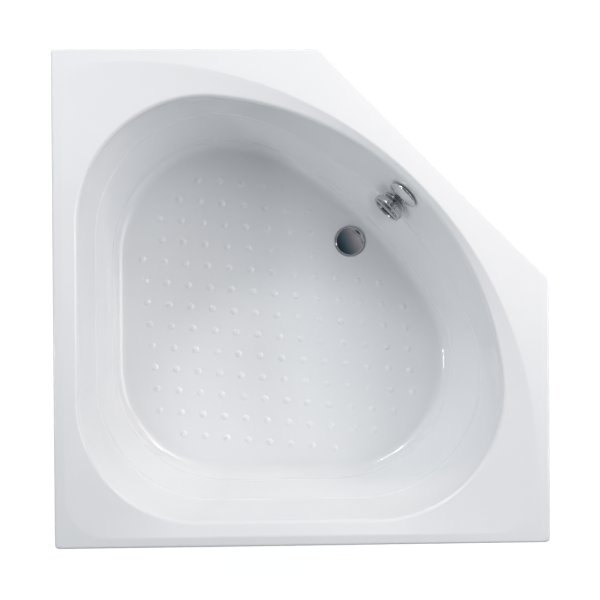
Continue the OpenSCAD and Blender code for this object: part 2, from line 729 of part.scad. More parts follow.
module waste_body() {
    inner_r = cup_r - cup_t;
    socket_r = pipe_d / 2 + cup_t;
    socket_end = cup_r + 4 + socket_len;
    color(grey_plastic) at_waste() difference() {
        union() {
            rotate_extrude() polygon([
                [body_outlet_r - cup_t, body_outlet_bottom], [body_outlet_r, body_outlet_bottom],
                [body_outlet_r, cup_floor - cup_t], [cup_r, cup_floor + 4], [cup_r, body_top - 6],
                [flange_r, body_top - 5], [flange_r, body_top], [tail_r + 0.1, body_top],
                [tail_r + 0.1, tail_bottom - 1], [inner_r, tail_bottom - 4], [inner_r, cup_floor + 4],
                [body_outlet_r - cup_t, cup_floor]]);
            rotate([0, 0, pipe_turn]) translate([inner_r + 1, 0, inlet_z]) rotate([0, 90, 0])
                cylinder(r = socket_r, h = socket_end - inner_r - 1);
            translate([inner_r + 1, 0, cable_z]) rotate([0, 90, 0])
                cylinder(d = cable_d + 5, h = cup_t + 5);
        }
        translate([0, 0, cup_floor + 4]) cylinder(r = inner_r, h = tail_bottom - 4 - cup_floor - 4);
        rotate([0, 0, pipe_turn]) translate([0, 0, inlet_z]) rotate([0, 90, 0]) {
            cylinder(r = pipe_d / 2 - pipe_t - 1, h = socket_end + 1);
            translate([0, 0, socket_end - socket_len])
                cylinder(r = pipe_d / 2 + socket_gap, h = socket_len + 1);
        }
        translate([0, 0, cable_z]) rotate([0, 90, 0]) {
            cylinder(d = cable_d / 2, h = cup_r + 10);
            translate([0, 0, cable_start_u]) cylinder(r = cable_d / 2 + socket_gap, h = 12);
        }
        translate([lifter_reach, cup_r, lifter_z]) rotate([90, 0, 0])
            cylinder(r = lifter_shaft_d / 2 + run_gap, h = 2 * cup_r);
    }
}
module plug_dome() {
    r = plug_d / 2;
    edge_t = 1.5;
    hub_bottom = flange_seat - 6;
    ball_r = (r * r + plug_dome * plug_dome) / (2 * plug_dome);
    slope = asin(r / ball_r);
    dome = [for (i = [0:6]) let (turn = slope * (1 - i / 6))
        [ball_r * sin(turn), plug_under + edge_t + plug_dome - ball_r * (1 - cos(turn))]];
    color(chrome) at_waste() difference() {
        rotate_extrude() polygon(concat([[0, hub_bottom], [guide_r, hub_bottom],
            [guide_r, plug_under], [r - 0.5, plug_under]], dome));
        translate([0, 0, hub_bottom - 1])
            cylinder(r = stem_d / 2 + run_gap, h = stem_top + seat_gap - hub_bottom + 1);
    }
}
module plug_seal() {
    color(dark_rubber) at_waste()
        ring(plug_d / 2 - 3, bore_r + 1.5, flange_seat + washer_gap, plug_under - washer_gap);
}
module plug_stem() {
    tip_h = 4;
    color(chrome) at_waste() {
        translate([0, 0, stem_rest]) cylinder(d1 = 2, d2 = stem_d, h = tip_h);
        translate([0, 0, stem_rest + tip_h]) cylinder(d = stem_d, h = stem_top - stem_rest - tip_h);
    }
}
// The arm's shaft lies across the cup. Its tip carries the stem and the cable pulls its horn.
module lifter_arm() {
    hub_r = lifter_shaft_d / 2 + 1.5;
    arm_w = 6;
    color(grey_plastic) at_waste()
    translate([lifter_reach, arm_w / 2, lifter_z]) rotate([90, 0, 0]) difference() {
        rotate([0, 0, lifter_half_angle]) linear_extrude(arm_w) {
            hull() {
                circle(r = hub_r, $fn = 32);
                translate([-lifter_reach / cos(lifter_half_angle) + 0.5, 0])
                    circle(r = lifter_tip_r, $fn = 32);
            }
            hull() {
                circle(r = hub_r, $fn = 32);
                translate([0, horn_len]) circle(r = 1.5, $fn = 32);
            }
        }
        translate([0, 0, -1]) cylinder(r = lifter_shaft_d / 2 + run_gap, h = arm_w + 2);
    }
}
module lifter_shaft() {
    half_len = sqrt(cup_r * cup_r - lifter_reach * lifter_reach) - 1;
    color(chrome) at_waste() translate([lifter_reach, half_len, lifter_z]) rotate([90, 0, 0])
        cylinder(d = lifter_shaft_d, h = 2 * half_len);
}

// ---- trap -------------------------------------------------------------------------------------------
trap_r = trap_d / 2;
trap_t = 3;
cap_h = 8;
outlet_r = outlet_d / 2;
// The trap hangs on the waste body's tail
tail_clear = 4;
trap_top = body_outlet_bottom - tail_clear;
outlet_z = trap_top - 4 - outlet_r;
dip_bottom = outlet_z - outlet_r + trap_t - trap_seal_depth;
cap_bottom = dip_bottom - 3 - trap_t;
trap_bottom = cap_bottom + cap_h / 2;
union_nut_h = 18;
// The spigot has a shoulder and a narrow groove as the stop for the waste pipe's socket
stop_end = trap_r + 4;
spigot_start = stop_end + 1;
collar_r = body_outlet_r + socket_gap + trap_t;
collar_top = body_outlet_bottom + 12;
union_r = collar_r + 4;
module trap_union_nut() {
    top = collar_top + 5;
    color(grey_plastic) at_waste() {
        ring(union_r, collar_r + seat_gap, top - union_nut_h, top - 2);
        ring(union_r, body_outlet_r + socket_gap, top - 2, top);
        for (turn = [0:30:330])
            rotate([0, 0, turn]) translate([union_r - 0.5, -2, top - union_nut_h + 2])
                cube([2.5, 4, union_nut_h - 4]);
    }
}
module trap_washer() {
    color(dark_rubber) at_waste() ring(collar_r - 0.5, body_outlet_r + socket_gap,
        collar_top + washer_gap, collar_top + 3 - washer_gap);
}
module along_outlet() rotate([0, 0, 135]) translate([0, 0, outlet_z]) rotate([0, 90, 0]) children();
module trap_body() {
    dip_r = body_outlet_r - trap_t;
    color(grey_plastic) at_waste() difference() {
        union() {
            difference() {
                union() {
                    translate([0, 0, trap_bottom]) cylinder(r = trap_r, h = trap_top - trap_bottom);
                    along_outlet() {
                        cylinder(r = outlet_r + 3, h = stop_end);
                        cylinder(r = outlet_r - 0.5, h = spigot_start + 1);
                        translate([0, 0, spigot_start]) cylinder(r = outlet_r, h = outlet_len);
                    }
                }
                translate([0, 0, trap_bottom - 1])
                    cylinder(r = trap_r - trap_t, h = trap_top - trap_t - trap_bottom + 1);
                along_outlet() cylinder(r = outlet_r - trap_t, h = spigot_start + outlet_len + 1);
            }
            translate([0, 0, trap_top - trap_t])
                cylinder(r = collar_r, h = collar_top - trap_top + trap_t);
            translate([0, 0, dip_bottom]) cylinder(r = dip_r, h = trap_top - 1 - dip_bottom);
        }
        translate([0, 0, trap_top])
            cylinder(r = body_outlet_r + socket_gap, h = collar_top - trap_top + 1);
        translate([0, 0, dip_bottom - 1]) cylinder(r = dip_r - 2, h = collar_top - dip_bottom + 2);
    }
}
module trap_cap() {
    inner = trap_r - trap_t - seat_gap;
    color(grey_plastic) at_waste() {
        translate([0, 0, cap_bottom])
            cylinder(r = trap_r + 2, h = trap_bottom - cap_bottom - seat_gap);
        ring(inner, inner - 2, trap_bottom - seat_gap - 1, trap_bottom + 6);
    }
}

// ---- overflow ---------------------------------------------------------------------------------------
insert_r = overflow_hole_d / 2 - 3;
overflow_seal_t = 2;
overflow_front = -pad_depth - 2 * washer_gap - overflow_seal_t;
overflow_body_r = overflow_hole_d / 2 + 7;
overflow_back = overflow_front - pipe_d - 4;
overflow_axis = overflow_front - pipe_d / 2 - 1;
overflow_lean = wall_lean(overflow_z);
pipe_u = wall_u(overflow_z) + (spot_depth - overflow_axis) * cos(overflow_lean);
pipe_top_z = overflow_z - (spot_depth - overflow_axis) * sin(overflow_lean);
pipe_turn = -atan2(pipe_side, pipe_u - waste_u);
pipe_run = norm([pipe_u - waste_u, pipe_side]);
elbow_len = elbow_r + socket_len;

module overflow_cover() {
    r = overflow_cover_d / 2;
    edge = 4.5;
    rise = 5;
    skin = 1.8;
    ball_r = (r * r + rise * rise) / (2 * rise);
    slope = asin(r / ball_r);
    outer = [for (i = [0:6]) let (turn = slope * (1 - i / 6))
        [ball_r * sin(turn), edge + skin + rise - ball_r * (1 - cos(turn))]];
    inner = [for (i = [0:6]) let (turn = slope * i / 6 * (1 - skin / r))
        [ball_r * sin(turn), edge + rise - ball_r * (1 - cos(turn)) + 0.01]];
    color(chrome) on_wall(overflow_z) {
        rotate_extrude() polygon(concat([[r - 0.6, edge], [r, edge + 0.6]], outer, inner));
        translate([0, 0, 2.4 + seat_gap]) cylinder(r = 6, h = edge + rise - 2);
    }
}
module overflow_insert() {
    back = overflow_front - 12;
    color(grey_plastic) on_wall(overflow_z) {
        ring(insert_r, insert_r - 3, back, 1);
        ring(overflow_hole_d / 2 + 5, insert_r - 3, washer_gap, 2.4);
        translate([0, 0, -4]) cylinder(r = 6, h = 6.4);
        for (turn = [90, 210, 330]) rotate([0, 0, turn]) translate([0, -1.5, -4])
            cube([insert_r - 1, 3, 4]);
    }
}
module overflow_seal() {
    color(dark_rubber) on_wall(overflow_z) ring(overflow_body_r - 1, insert_r + 0.5,
        overflow_front + washer_gap, overflow_front + washer_gap + overflow_seal_t);
}
module overflow_body() {
    spigot_end = pipe_side - elbow_r - 2;
    color(grey_plastic) on_wall(overflow_z) difference() {
        union() {
            translate([0, 0, overflow_back])
                cylinder(r = overflow_body_r, h = overflow_front - overflow_back);
            translate([0, 0, overflow_axis]) rotate([0, 90, 0]) cylinder(d = pipe_d, h = spigot_end);
        }
        translate([0, 0, overflow_back + cup_t])
            cylinder(r = insert_r + 0.1, h = overflow_front - overflow_back);
        translate([0, 0, overflow_axis]) rotate([0, 90, 0])
            cylinder(r = pipe_d / 2 - pipe_t, h = spigot_end + 1);
    }
}
// A knuckle elbow with its corner at the origin and its two sockets open along x and z
module elbow_legs(r, length) {
    sphere(r = r);
    cylinder(r = r, h = length);
    rotate([0, 90, 0]) cylinder(r = r, h = length);
}
module pipe_elbow() {
    r = pipe_d / 2;
    socket_r = r + socket_gap + cup_t;
    color(grey_plastic) difference() {
        union() {
            elbow_legs(r + 1, elbow_len - 1);
            translate([0, 0, elbow_r]) cylinder(r = socket_r, h = socket_len);
            rotate([0, 90, 0]) translate([0, 0, elbow_r]) cylinder(r = socket_r, h = socket_len);
        }
        elbow_legs(r - pipe_t, elbow_len + 1);
        translate([0, 0, elbow_r + 1]) cylinder(r = r + socket_gap, h = socket_len);
        rotate([0, 90, 0]) translate([0, 0, elbow_r + 1]) cylinder(r = r + socket_gap, h = socket_len);
    }
}
module pipe(length) {
    color(grey_plastic) ring(pipe_d / 2, pipe_d / 2 - pipe_t, 0, length);
}
module overflow_elbow_upper() {
    on_diagonal() translate([pipe_u, -pipe_side, pipe_top_z]) rotate([180, 0, 90]) pipe_elbow();
}
module overflow_drop_pipe() {
    start = elbow_r + 1 + seat_gap;
    on_diagonal() translate([pipe_u, -pipe_side, inlet_z + start])
        pipe(pipe_top_z - inlet_z - 2 * start);
}
module overflow_elbow_lower() {
    on_diagonal() translate([pipe_u, -pipe_side, inlet_z]) rotate([0, 0, 180 + pipe_turn])
        pipe_elbow();
}
module overflow_run_pipe() {
    start = cup_r + 4 + seat_gap;
    at_waste() rotate([0, 0, pipe_turn]) translate([start, 0, inlet_z]) rotate([0, 90, 0])
        pipe(pipe_run - elbow_r - 1 - seat_gap - start);
}

// ---- waste control ----------------------------------------------------------------------------------
knob_back = rosette_t + 1;
spindle_r = spindle_d / 2;
rosette_tail_r = control_hole_d / 2 - 3;
control_seal_t = 1.5;
housing_front = -pad_depth - 2 * washer_gap - control_seal_t;
housing_back = housing_front - housing_len;
housing_r = housing_d / 2;
drum_mid = housing_front - 14;
module control_knob() {
    r = knob_d / 2;
    edge = 1.5;
    neck_r = knob_neck_d / 2;
    flare_end = knob_t - recess_depth;
    color(chrome) on_wall(control_z) difference() {
        translate([0, 0, knob_back]) rotate_extrude() polygon([[0, 0], [neck_r, 0], [neck_r, 2],
            [r - 1, flare_end - 1], [r, flare_end], [r, knob_t - edge], [r - edge, knob_t],
            [0, knob_t]]);
        // Finger recesses above and below the grip
        for (side = [-1, 1]) intersection() {
            translate([0, 0, knob_back + knob_t - recess_depth])
                cylinder(r = r - knob_wall, h = recess_depth + 1);
            translate([-r, side > 0 ? grip_w / 2 : -grip_w / 2 - r, knob_back])
                cube([2 * r, r, knob_t + 1]);
        }
        translate([0, 0, knob_back - 1]) cylinder(r = spindle_r + run_gap, h = 1 + knob_t - 4);
    }
}
module control_rosette() {
    r = rosette_d / 2;
    rim = 3;
    neck_r = r - 6;
    color(chrome) on_wall(control_z) difference() {
        union() {
            rotate_extrude() polygon([[0, washer_gap], [r, washer_gap], [r, rim - 1], [r - 1, rim],
                [neck_r, rim + 2], [neck_r - 1, rosette_t - washer_gap], [0, rosette_t - washer_gap]]);
            translate([0, 0, housing_front - 3]) cylinder(r = rosette_tail_r, h = 4 - housing_front);
        }
        translate([0, 0, housing_front - 4])
            cylinder(r = spindle_r + run_gap, h = rosette_t + 8 - housing_front);
    }
}
module control_spindle() {
    color(steel) on_wall(control_z) {
        translate([0, 0, housing_back + cup_t + 1])
            cylinder(r = spindle_r, h = knob_back + knob_t - 5 - housing_back - cup_t);
        for (side = [-1, 1]) translate([0, 0, drum_mid + side * 4 - 0.75])
            cylinder(r = spindle_r + 5, h = 1.5);
    }
}
module control_seal() {
    color(dark_rubber) on_wall(control_z) ring(housing_r - 1, control_hole_d / 2 + 0.5,
        housing_front + washer_gap, housing_front + washer_gap + control_seal_t);
}
module control_housing() {
    front_t = 3;
    color(grey_plastic) on_wall(control_z) difference() {
        union() {
            translate([0, 0, housing_back]) cylinder(r = housing_r, h = housing_len);
            translate([0, 0, drum_mid]) rotate([90, 0, 0]) cylinder(d = cable_d + 5, h = housing_r + 8);
        }
        translate([0, 0, housing_back + cup_t])
            cylinder(r = housing_r - cup_t, h = housing_len - cup_t - front_t);
        translate([0, 0, housing_front - front_t - 1]) cylinder(r = rosette_tail_r + 0.1, h = front_t + 2);
        translate([0, 0, drum_mid]) rotate([90, 0, 0]) {
            cylinder(d = cable_d / 2, h = housing_r + 9);
            translate([0, 0, housing_r]) cylinder(r = cable_d / 2 + socket_gap, h = 9);
        }
    }
}
// The cable runs down from the housing, turns under the bath and ends in the waste body
control_lean = wall_lean(control_z);
cable_from_u = wall_u(control_z) + (spot_depth - drum_mid) * cos(control_lean)
    - (housing_r + seat_gap) * sin(control_lean);
cable_from_z = control_z - (spot_depth - drum_mid) * sin(control_lean)
    - (housing_r + seat_gap) * cos(control_lean);
cable_start_u = cup_r + 1;
cable_corner_u = cable_from_u - (cable_from_z - cable_z) * tan(control_lean);
cable_turn = 90 - control_lean;
cable_setback = cable_bend_r * tan(cable_turn / 2);
cable_bend_at = [cable_corner_u - cable_setback, cable_z + cable_bend_r];
// Centre line of the cable as u, z and its turn from straight down towards the waste
cable_line = concat([[cable_from_u, cable_from_z, control_lean]],
    [for (i = [0:10]) let (turn = control_lean + cable_turn * i / 10)
        [cable_bend_at[0] + cable_bend_r * cos(turn), cable_bend_at[1] - cable_bend_r * sin(turn), turn]],
    [[waste_u + cable_start_u + seat_gap, cable_z, 90]]);
module control_cable() {
    sides = 14;
    last = len(cable_line) - 1;
    points = [for (at = cable_line, i = [0:sides - 1])
        let (across = cable_d / 2 * cos(360 * i / sides), along_v = cable_d / 2 * sin(360 * i / sides))
        [at[0] + across * cos(at[2]), along_v, at[1] - across * sin(at[2])]];
    skin = [for (k = [0:last - 1], i = [0:sides - 1]) let (j = (i + 1) % sides)
        each [[k * sides + i, k * sides + j, (k + 1) * sides + j],
              [k * sides + i, (k + 1) * sides + j, (k + 1) * sides + i]]];
    ends = [for (i = [1:sides - 2])
        each [[0, i + 1, i], [last * sides, last * sides + i, last * sides + i + 1]]];
    color(dark_rubber) on_diagonal()
        polyhedron(points, concat(skin, ends), convexity = 4);
}

// ---- drawing ----------------------------------------------------------------------------------------
bath_shell();
baseboard();
rim_batten_left();
rim_batten_near();
rim_batten_right();
rim_batten_far();
rim_batten_cut();
side_rail_left();
side_rail_right();
cross_rail_front();
cross_rail_rear();
corner_rail();
rail_screws();
foot_bushes();
foot_lock_nuts();
foot_stud(1);  // foot_stud_1
foot_stud(2);  // foot_stud_2
foot_stud(3);  // foot_stud_3
foot_stud(4);  // foot_stud_4
foot_stud(5);  // foot_stud_5
foot_pad(1);  // foot_pad_1
foot_pad(2);  // foot_pad_2
foot_pad(3);  // foot_pad_3
foot_pad(4);  // foot_pad_4
foot_pad(5);  // foot_pad_5
wall_clips();
clip_screws();
waste_upper_seal();
waste_flange();
waste_lower_seal();
waste_body();
plug_dome();
plug_seal();
plug_stem();
lifter_arm();
lifter_shaft();
trap_union_nut();
trap_washer();
trap_body();
trap_cap();
overflow_cover();
overflow_insert();
overflow_seal();
overflow_body();
overflow_elbow_upper();
overflow_drop_pipe();
overflow_elbow_lower();
overflow_run_pipe();
control_knob();
control_rosette();
control_spindle();
control_seal();
control_housing();
control_cable();
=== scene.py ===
import json
import math

import bpy
import numpy as np
from mathutils import Matrix, Quaternion, Vector


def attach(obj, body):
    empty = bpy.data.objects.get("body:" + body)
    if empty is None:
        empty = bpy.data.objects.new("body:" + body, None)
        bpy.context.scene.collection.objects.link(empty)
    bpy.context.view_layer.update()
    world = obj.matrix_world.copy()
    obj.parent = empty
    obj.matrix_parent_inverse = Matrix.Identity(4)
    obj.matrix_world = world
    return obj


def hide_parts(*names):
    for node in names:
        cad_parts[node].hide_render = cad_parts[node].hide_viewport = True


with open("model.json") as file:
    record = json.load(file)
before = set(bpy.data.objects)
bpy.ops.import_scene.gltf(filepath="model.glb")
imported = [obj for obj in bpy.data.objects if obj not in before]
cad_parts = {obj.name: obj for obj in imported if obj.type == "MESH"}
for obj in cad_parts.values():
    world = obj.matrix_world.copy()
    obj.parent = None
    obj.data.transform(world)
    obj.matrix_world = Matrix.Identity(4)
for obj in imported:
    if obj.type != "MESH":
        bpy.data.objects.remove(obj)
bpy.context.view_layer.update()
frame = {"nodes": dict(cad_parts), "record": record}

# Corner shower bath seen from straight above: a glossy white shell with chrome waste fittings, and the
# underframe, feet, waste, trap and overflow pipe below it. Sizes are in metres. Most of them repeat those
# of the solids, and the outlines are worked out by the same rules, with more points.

ROOT2 = math.sqrt(2)

# ---- camera ---------------------------------------------------------------------------------------
IMAGE_SIDE = 600
FOCAL_PIXELS = 1342.0
SENSOR = 36
CAMERA_PLACE = Vector((-0.1302, 0.0378, 3.5519))
# The camera looks straight down, turned by this rotation vector in radians
CAMERA_TURN = Vector((-0.01419, -0.04176, -0.00636))
CAMERA_NEAR = 0.05
CAMERA_FAR = 60


def make_camera():
    data = bpy.data.cameras.new("camera")
    data.sensor_width = SENSOR
    data.lens = FOCAL_PIXELS * SENSOR / IMAGE_SIDE
    data.clip_start = CAMERA_NEAR
    data.clip_end = CAMERA_FAR
    camera = bpy.data.objects.new("camera", data)
    bpy.context.scene.collection.objects.link(camera)
    camera.location = CAMERA_PLACE
    camera.rotation_mode = "QUATERNION"
    camera.rotation_quaternion = Quaternion(CAMERA_TURN.normalized(), CAMERA_TURN.length)
    bpy.context.scene.camera = camera


make_camera()
bpy.context.scene.view_settings.view_transform = "Standard"

# ---- sizes ----------------------------------------------------------------------------------------
# Rim: a square with one corner cut off at 45 degrees
SQUARE_SIDE = 1.100
CORNER_CUT = 0.510
RIM_CORNER_R = 0.010
RIM_H = 0.590
LIP_DEPTH = 0.040
SHELL_T = 0.006
RIM_EDGE_R = 0.006
# Deck and shelves. ARCS are the radii of an outline's big arc, of the corner opposite the arc, and of the
# two corners beside it
BAND_W = 0.023
DECK_W = 0.055
DECK_ARCS = (0.902, 0.095, 0.090)
SHELF_DROP = 0.008
SHELF_FALL = 0.004
# Bowl: its wall leans in by the batter, and its waist stands out
BOWL_DEPTH = 0.400
BOWL_INSET = 0.047
BOWL_GAP = 0.010
BOWL_ARCS = (0.705, 0.270, 0.288)
BOWL_EDGE_R = 0.008
WALL_BATTER = 0.050
WALL_BATTER_DEEP = 0.086
FOOT_ARCS = (1.002, 0.283, 0.290)
WAIST = 0.005
WAIST_AT = 0.54
WAIST_SOFT = 0.06
FILLET_R = 0.032
# Floor, which falls by this share towards the waste, and its studs
FLOOR_FALL = 0.010
STUD_R = 0.010
STUD_H = 0.002
STUD_PITCH = (0.068, 0.084)
STUD_MARGIN = 0.060
STUD_CLEAR = 0.008
# The waste's hole and recess, and how far below the rim the overflow and the control knob lie
WASTE_R = 0.037
WASTE_HOLE_R = 0.026
WASTE_RECESS = 0.002
WASTE_CLEAR = 0.004
OVERFLOW_DROP = 0.075
CONTROL_DROP = 0.162
# How far the flat spots under the wall's fittings are set in
SPOT_DEPTH = 0.0012

HALF_SIDE = SQUARE_SIDE / 2
CUT_REACH = (SQUARE_SIDE - CORNER_CUT) / ROOT2
FLOOR_Z = RIM_H - BOWL_DEPTH
FLOOR_UNDER = FLOOR_Z - SHELL_T
SHELF_Z = RIM_H - SHELF_DROP
BOWL_Z = SHELF_Z - SHELF_FALL
WALL_TOP = BOWL_Z - BOWL_EDGE_R
WALL_FOOT = FLOOR_Z + FILLET_R
WASTE_RECESS_R = WASTE_R + WASTE_CLEAR
OVERFLOW_Z = RIM_H - OVERFLOW_DROP
CONTROL_Z = RIM_H - CONTROL_DROP

# A curved outline is (side, reach, arc radius, corner radius, side corner radius), as in the solids
DECK = np.array((HALF_SIDE - BAND_W, CUT_REACH - DECK_W) + DECK_ARCS)
BOWL = np.array((HALF_SIDE - BOWL_INSET, DECK[1] - BOWL_GAP) + BOWL_ARCS)
FOOT = np.array((BOWL[0] - WALL_BATTER, BOWL[1] - WALL_BATTER_DEEP) + FOOT_ARCS)
WASTE_U = FOOT[1] - FILLET_R - WASTE_RECESS_R
WASTE = Vector((WASTE_U / ROOT2, WASTE_U / ROOT2, 0))
WASTE_POINT = np.array([WASTE.x, WASTE.y, FLOOR_UNDER])
# Shares of the wall's height at which the solids have their rings
WALL_SHARES = (0, 0.25, WAIST_AT - WAIST_SOFT, WAIST_AT, WAIST_AT + WAIST_SOFT, 0.8, 1)
# Half the height over which the wall's lean is taken
LEAN_SPAN = 0.025
# Degrees between the shell's directions. Closer ones cover this much to either side of the rim's square
# corners, and this much past the rounds at the ends of its cut
DIRECTION_STEP = 0.75
SQUARE_SPREAD = 0.62
CUT_SPREAD = 0.05


def full_angle(x, y):
    return math.degrees(math.atan2(y, x)) % 360


def folded(angle):
    """Angles in degrees, mirrored into the half from 45 to 225."""
    return 45 + np.abs((angle - 45 + 540) % 360 - 180)


def to_circle(cx, cy, r, angle):
    t = np.radians(angle)
    along = cx * np.cos(t) + cy * np.sin(t)
    return along + np.sqrt(np.maximum(0, along * along - cx * cx - cy * cy + r * r))


def curve_reach(line, angle):
    """Distance from the middle to a curved outline, in the directions of an array of angles."""
    side, reach, arc_r, corner_r, side_r = line
    turn = folded(angle)
    back = -(arc_r - reach) / ROOT2
    corner = -side + corner_r
    side_x = -side + side_r
    side_y = back + math.sqrt((arc_r - side_r) ** 2 - (side_x - back) ** 2)
    stretch = arc_r / (arc_r - side_r)
    arc_end = full_angle(back + stretch * (side_x - back), back + stretch * (side_y - back))
    return np.select(
        [turn < arc_end, turn < full_angle(-side, side_y), turn < full_angle(-side, corner)],
        [to_circle(back, back, arc_r, turn), to_circle(side_x, side_y, side_r, turn),
         -side / np.cos(np.radians(turn))],
        to_circle(corner, corner, corner_r, turn))


RIM_CUT_X = (CUT_REACH - RIM_CORNER_R) * ROOT2 - HALF_SIDE + RIM_CORNER_R
RIM_INNER = HALF_SIDE - RIM_CORNER_R
RIM_CUT_START = full_angle(RIM_CUT_X + RIM_CORNER_R / ROOT2, RIM_INNER + RIM_CORNER_R / ROOT2)
RIM_CUT_END = full_angle(RIM_CUT_X, HALF_SIDE)
RIM_SIDE_START = full_angle(-RIM_INNER, HALF_SIDE)
RIM_SIDE_END = full_angle(-HALF_SIDE, RIM_INNER)
RIM_CORNER_START = full_angle(-HALF_SIDE, -RIM_INNER)


def rim_reach(by, angle):
    """Distance from the middle to the five-sided rim outline grown by an amount."""
    turn = folded(angle)
    t = np.radians(turn)
    side = HALF_SIDE + by
    r = RIM_CORNER_R + by
    return np.select(
        [turn < RIM_CUT_START, turn < RIM_CUT_END, turn < RIM_SIDE_START, turn < RIM_SIDE_END,
         turn < RIM_CORNER_START],
        [(CUT_REACH + by) / np.cos(t - math.pi / 4), to_circle(RIM_CUT_X, RIM_INNER, r, turn),
         side / np.sin(t), to_circle(-RIM_INNER, RIM_INNER, r, turn), -side / np.cos(t)],
        to_circle(-RIM_INNER, -RIM_INNER, r, turn))


def floor_rise(x, y):
    return FLOOR_FALL * (WASTE_U - (x + y) / ROOT2)


def waist_out(share):
    plain = WAIST * min(share / WAIST_AT, (1 - share) / (1 - WAIST_AT))
    near = max(0, 1 - abs(share - WAIST_AT) / WAIST_SOFT)
    return plain - WAIST * WAIST_SOFT * near * near


def wall_z(share):
    return WALL_TOP + (WALL_FOOT - WALL_TOP) * share


def wall_line(share):
    """The wall's outline at a share of its height, from 0 at the top to 1 at the foot."""
    return (BOWL - BOWL_EDGE_R) * (1 - share) + FOOT * share + waist_out(share)


def shell_directions():
    """Even directions, with more of them round the rim's small corners."""
    even = np.arange(0, 360, DIRECTION_STEP)
    square = [c + np.linspace(-SQUARE_SPREAD, SQUARE_SPREAD, 17) for c in (135, 225, 315)]
    cut = np.linspace(RIM_CUT_START - CUT_SPREAD, RIM_CUT_END + CUT_SPREAD, 11)
    extra = np.concatenate(square + [cut, 90 - cut])
    return np.unique(np.round(np.concatenate([even, extra % 360]), 5))


# The shell's directions from the middle of the square, in degrees
ANGLES = shell_directions()
COS, SIN = np.cos(np.radians(ANGLES)), np.sin(np.radians(ANGLES))

# ---- mesh helpers ---------------------------------------------------------------------------------
# The most of a line that the rounding of one of its ends may use, and a radius that counts as 0
LINE_SHARE = 0.45
POLE_R = 1e-9


def mesh_object(name, points, faces, materials, face_material=None):
    mesh = bpy.data.meshes.new(name)
    mesh.from_pydata([tuple(p) for p in points], [], faces)
    for m in materials:
        mesh.materials.append(m)
    if face_material is not None:
        mesh.polygons.foreach_set("material_index", face_material)
    mesh.polygons.foreach_set("use_smooth", [True] * len(mesh.polygons))
    mesh.update()
    obj = bpy.data.objects.new(name, mesh)
    bpy.context.scene.collection.objects.link(obj)
    return obj


def loft(rings):
    """Points and quads between rings of equal length, and from the last ring back to the first."""
    count = len(rings[0])
    faces = []
    for k in range(len(rings)):
        a, b = k * count, (k + 1) % len(rings) * count
        for i in range(count):
            j = (i + 1) % count
            faces.append((a + i, a + j, b + j, b + i))
    return np.concatenate(rings), faces


def circle(r, z, segments):
    turns_round = [2 * math.pi * i / segments for i in range(segments)]
    return [(r * math.cos(t), r * math.sin(t), z) for t in turns_round]


def revolve(profile, segments):
    """Points and faces of a profile of (radius, height) turned round z. Radius 0 makes a pole."""
    points, rows, faces = [], [], []
    for r, z in profile:
        around = [(0, 0, z)] if r < POLE_R else circle(r, z, segments)
        rows.append(range(len(points), len(points) + len(around)))
        points += around
    for a, b in zip(rows, rows[1:]):
        for i in range(segments):
            j = (i + 1) % segments
            if len(a) == 1 and len(b) > 1:
                faces.append((a[0], b[j], b[i]))
            elif len(b) == 1 and len(a) > 1:
                faces.append((a[i], a[j], b[0]))
            elif len(a) > 1:
                faces.append((a[i], a[j], b[j], b[i]))
    return points, faces


def rounded(corners, radius, steps):
    """A profile whose corners between its ends are rounded by up to a radius."""
    out = [Vector(corners[0])]
    for before, at, after in zip(corners, corners[1:], corners[2:]):
        at, before, after = Vector(at), Vector(before), Vector(after)
        r = min(radius, LINE_SHARE * (at - before).length, LINE_SHARE * (after - at).length)
        start = at + (before - at).normalized() * r
        end = at + (after - at).normalized() * r
        for i in range(steps + 1):
            t = i / steps
            out.append(start * (1 - t) ** 2 + at * 2 * t * (1 - t) + end * t * t)
    out.append(Vector(corners[-1]))
    return [(p.x, p.y) for p in out]


def placed(points, matrix):
    return [matrix @ Vector(p) for p in points]


def wall_matrix(z):
    """Frame on the wall under the deck, as for the solids: local z into the bowl, y up the wall."""
    lean = wall_lean(z)
    s, c = math.sin(lean), math.cos(lean)
    u = wall_u(z) + SPOT_DEPTH * c
    h = z - SPOT_DEPTH * s
    d = math.sqrt(0.5)
    return Matrix(((d, s * d, -c * d, u * d), (-d, s * d, -c * d, u * d), (0, c, s, h), (0, 0, 0, 1)))


def wall_u(z):
    """How far out the wall is on the diagonal at a height, as in the solids."""
    heights = [wall_z(s) for s in WALL_SHARES]
    return float(np.interp(z, heights[::-1], [wall_line(s)[1] for s in WALL_SHARES][::-1]))


def wall_lean(z):
    return math.atan2(wall_u(z + LEAN_SPAN) - wall_u(z - LEAN_SPAN), 2 * LEAN_SPAN)


def waste_matrix():
    return Matrix.Translation(WASTE) @ Matrix.Rotation(math.radians(45), 4, "Z")


# ---- materials ------------------------------------------------------------------------------------


def add_node(tree, kind, inputs=None, **settings):
    """Adds a node to a tree. An input is a value or the output of another node."""
    node = tree.nodes.new(kind)
    for key, value in settings.items():
        setattr(node, key, value)
    for key, value in (inputs or {}).items():
        set_input(tree, node.inputs[key], value)
    return node


def set_input(tree, socket, value):
    if isinstance(value, bpy.types.NodeSocket):
        tree.links.new(value, socket)
    else:
        socket.default_value = value


def ramp_node(tree, value, stops):
    """The colour at a value between stops of (place, colour)."""
    node = add_node(tree, "ShaderNodeValToRGB", {"Fac": value})
    elements = node.color_ramp.elements
    while len(elements) < len(stops):
        elements.new(0.5)
    for element, (place, colour) in zip(elements, stops):
        element.position = place
        element.color = (*colour, 1)
    return node.outputs["Color"]


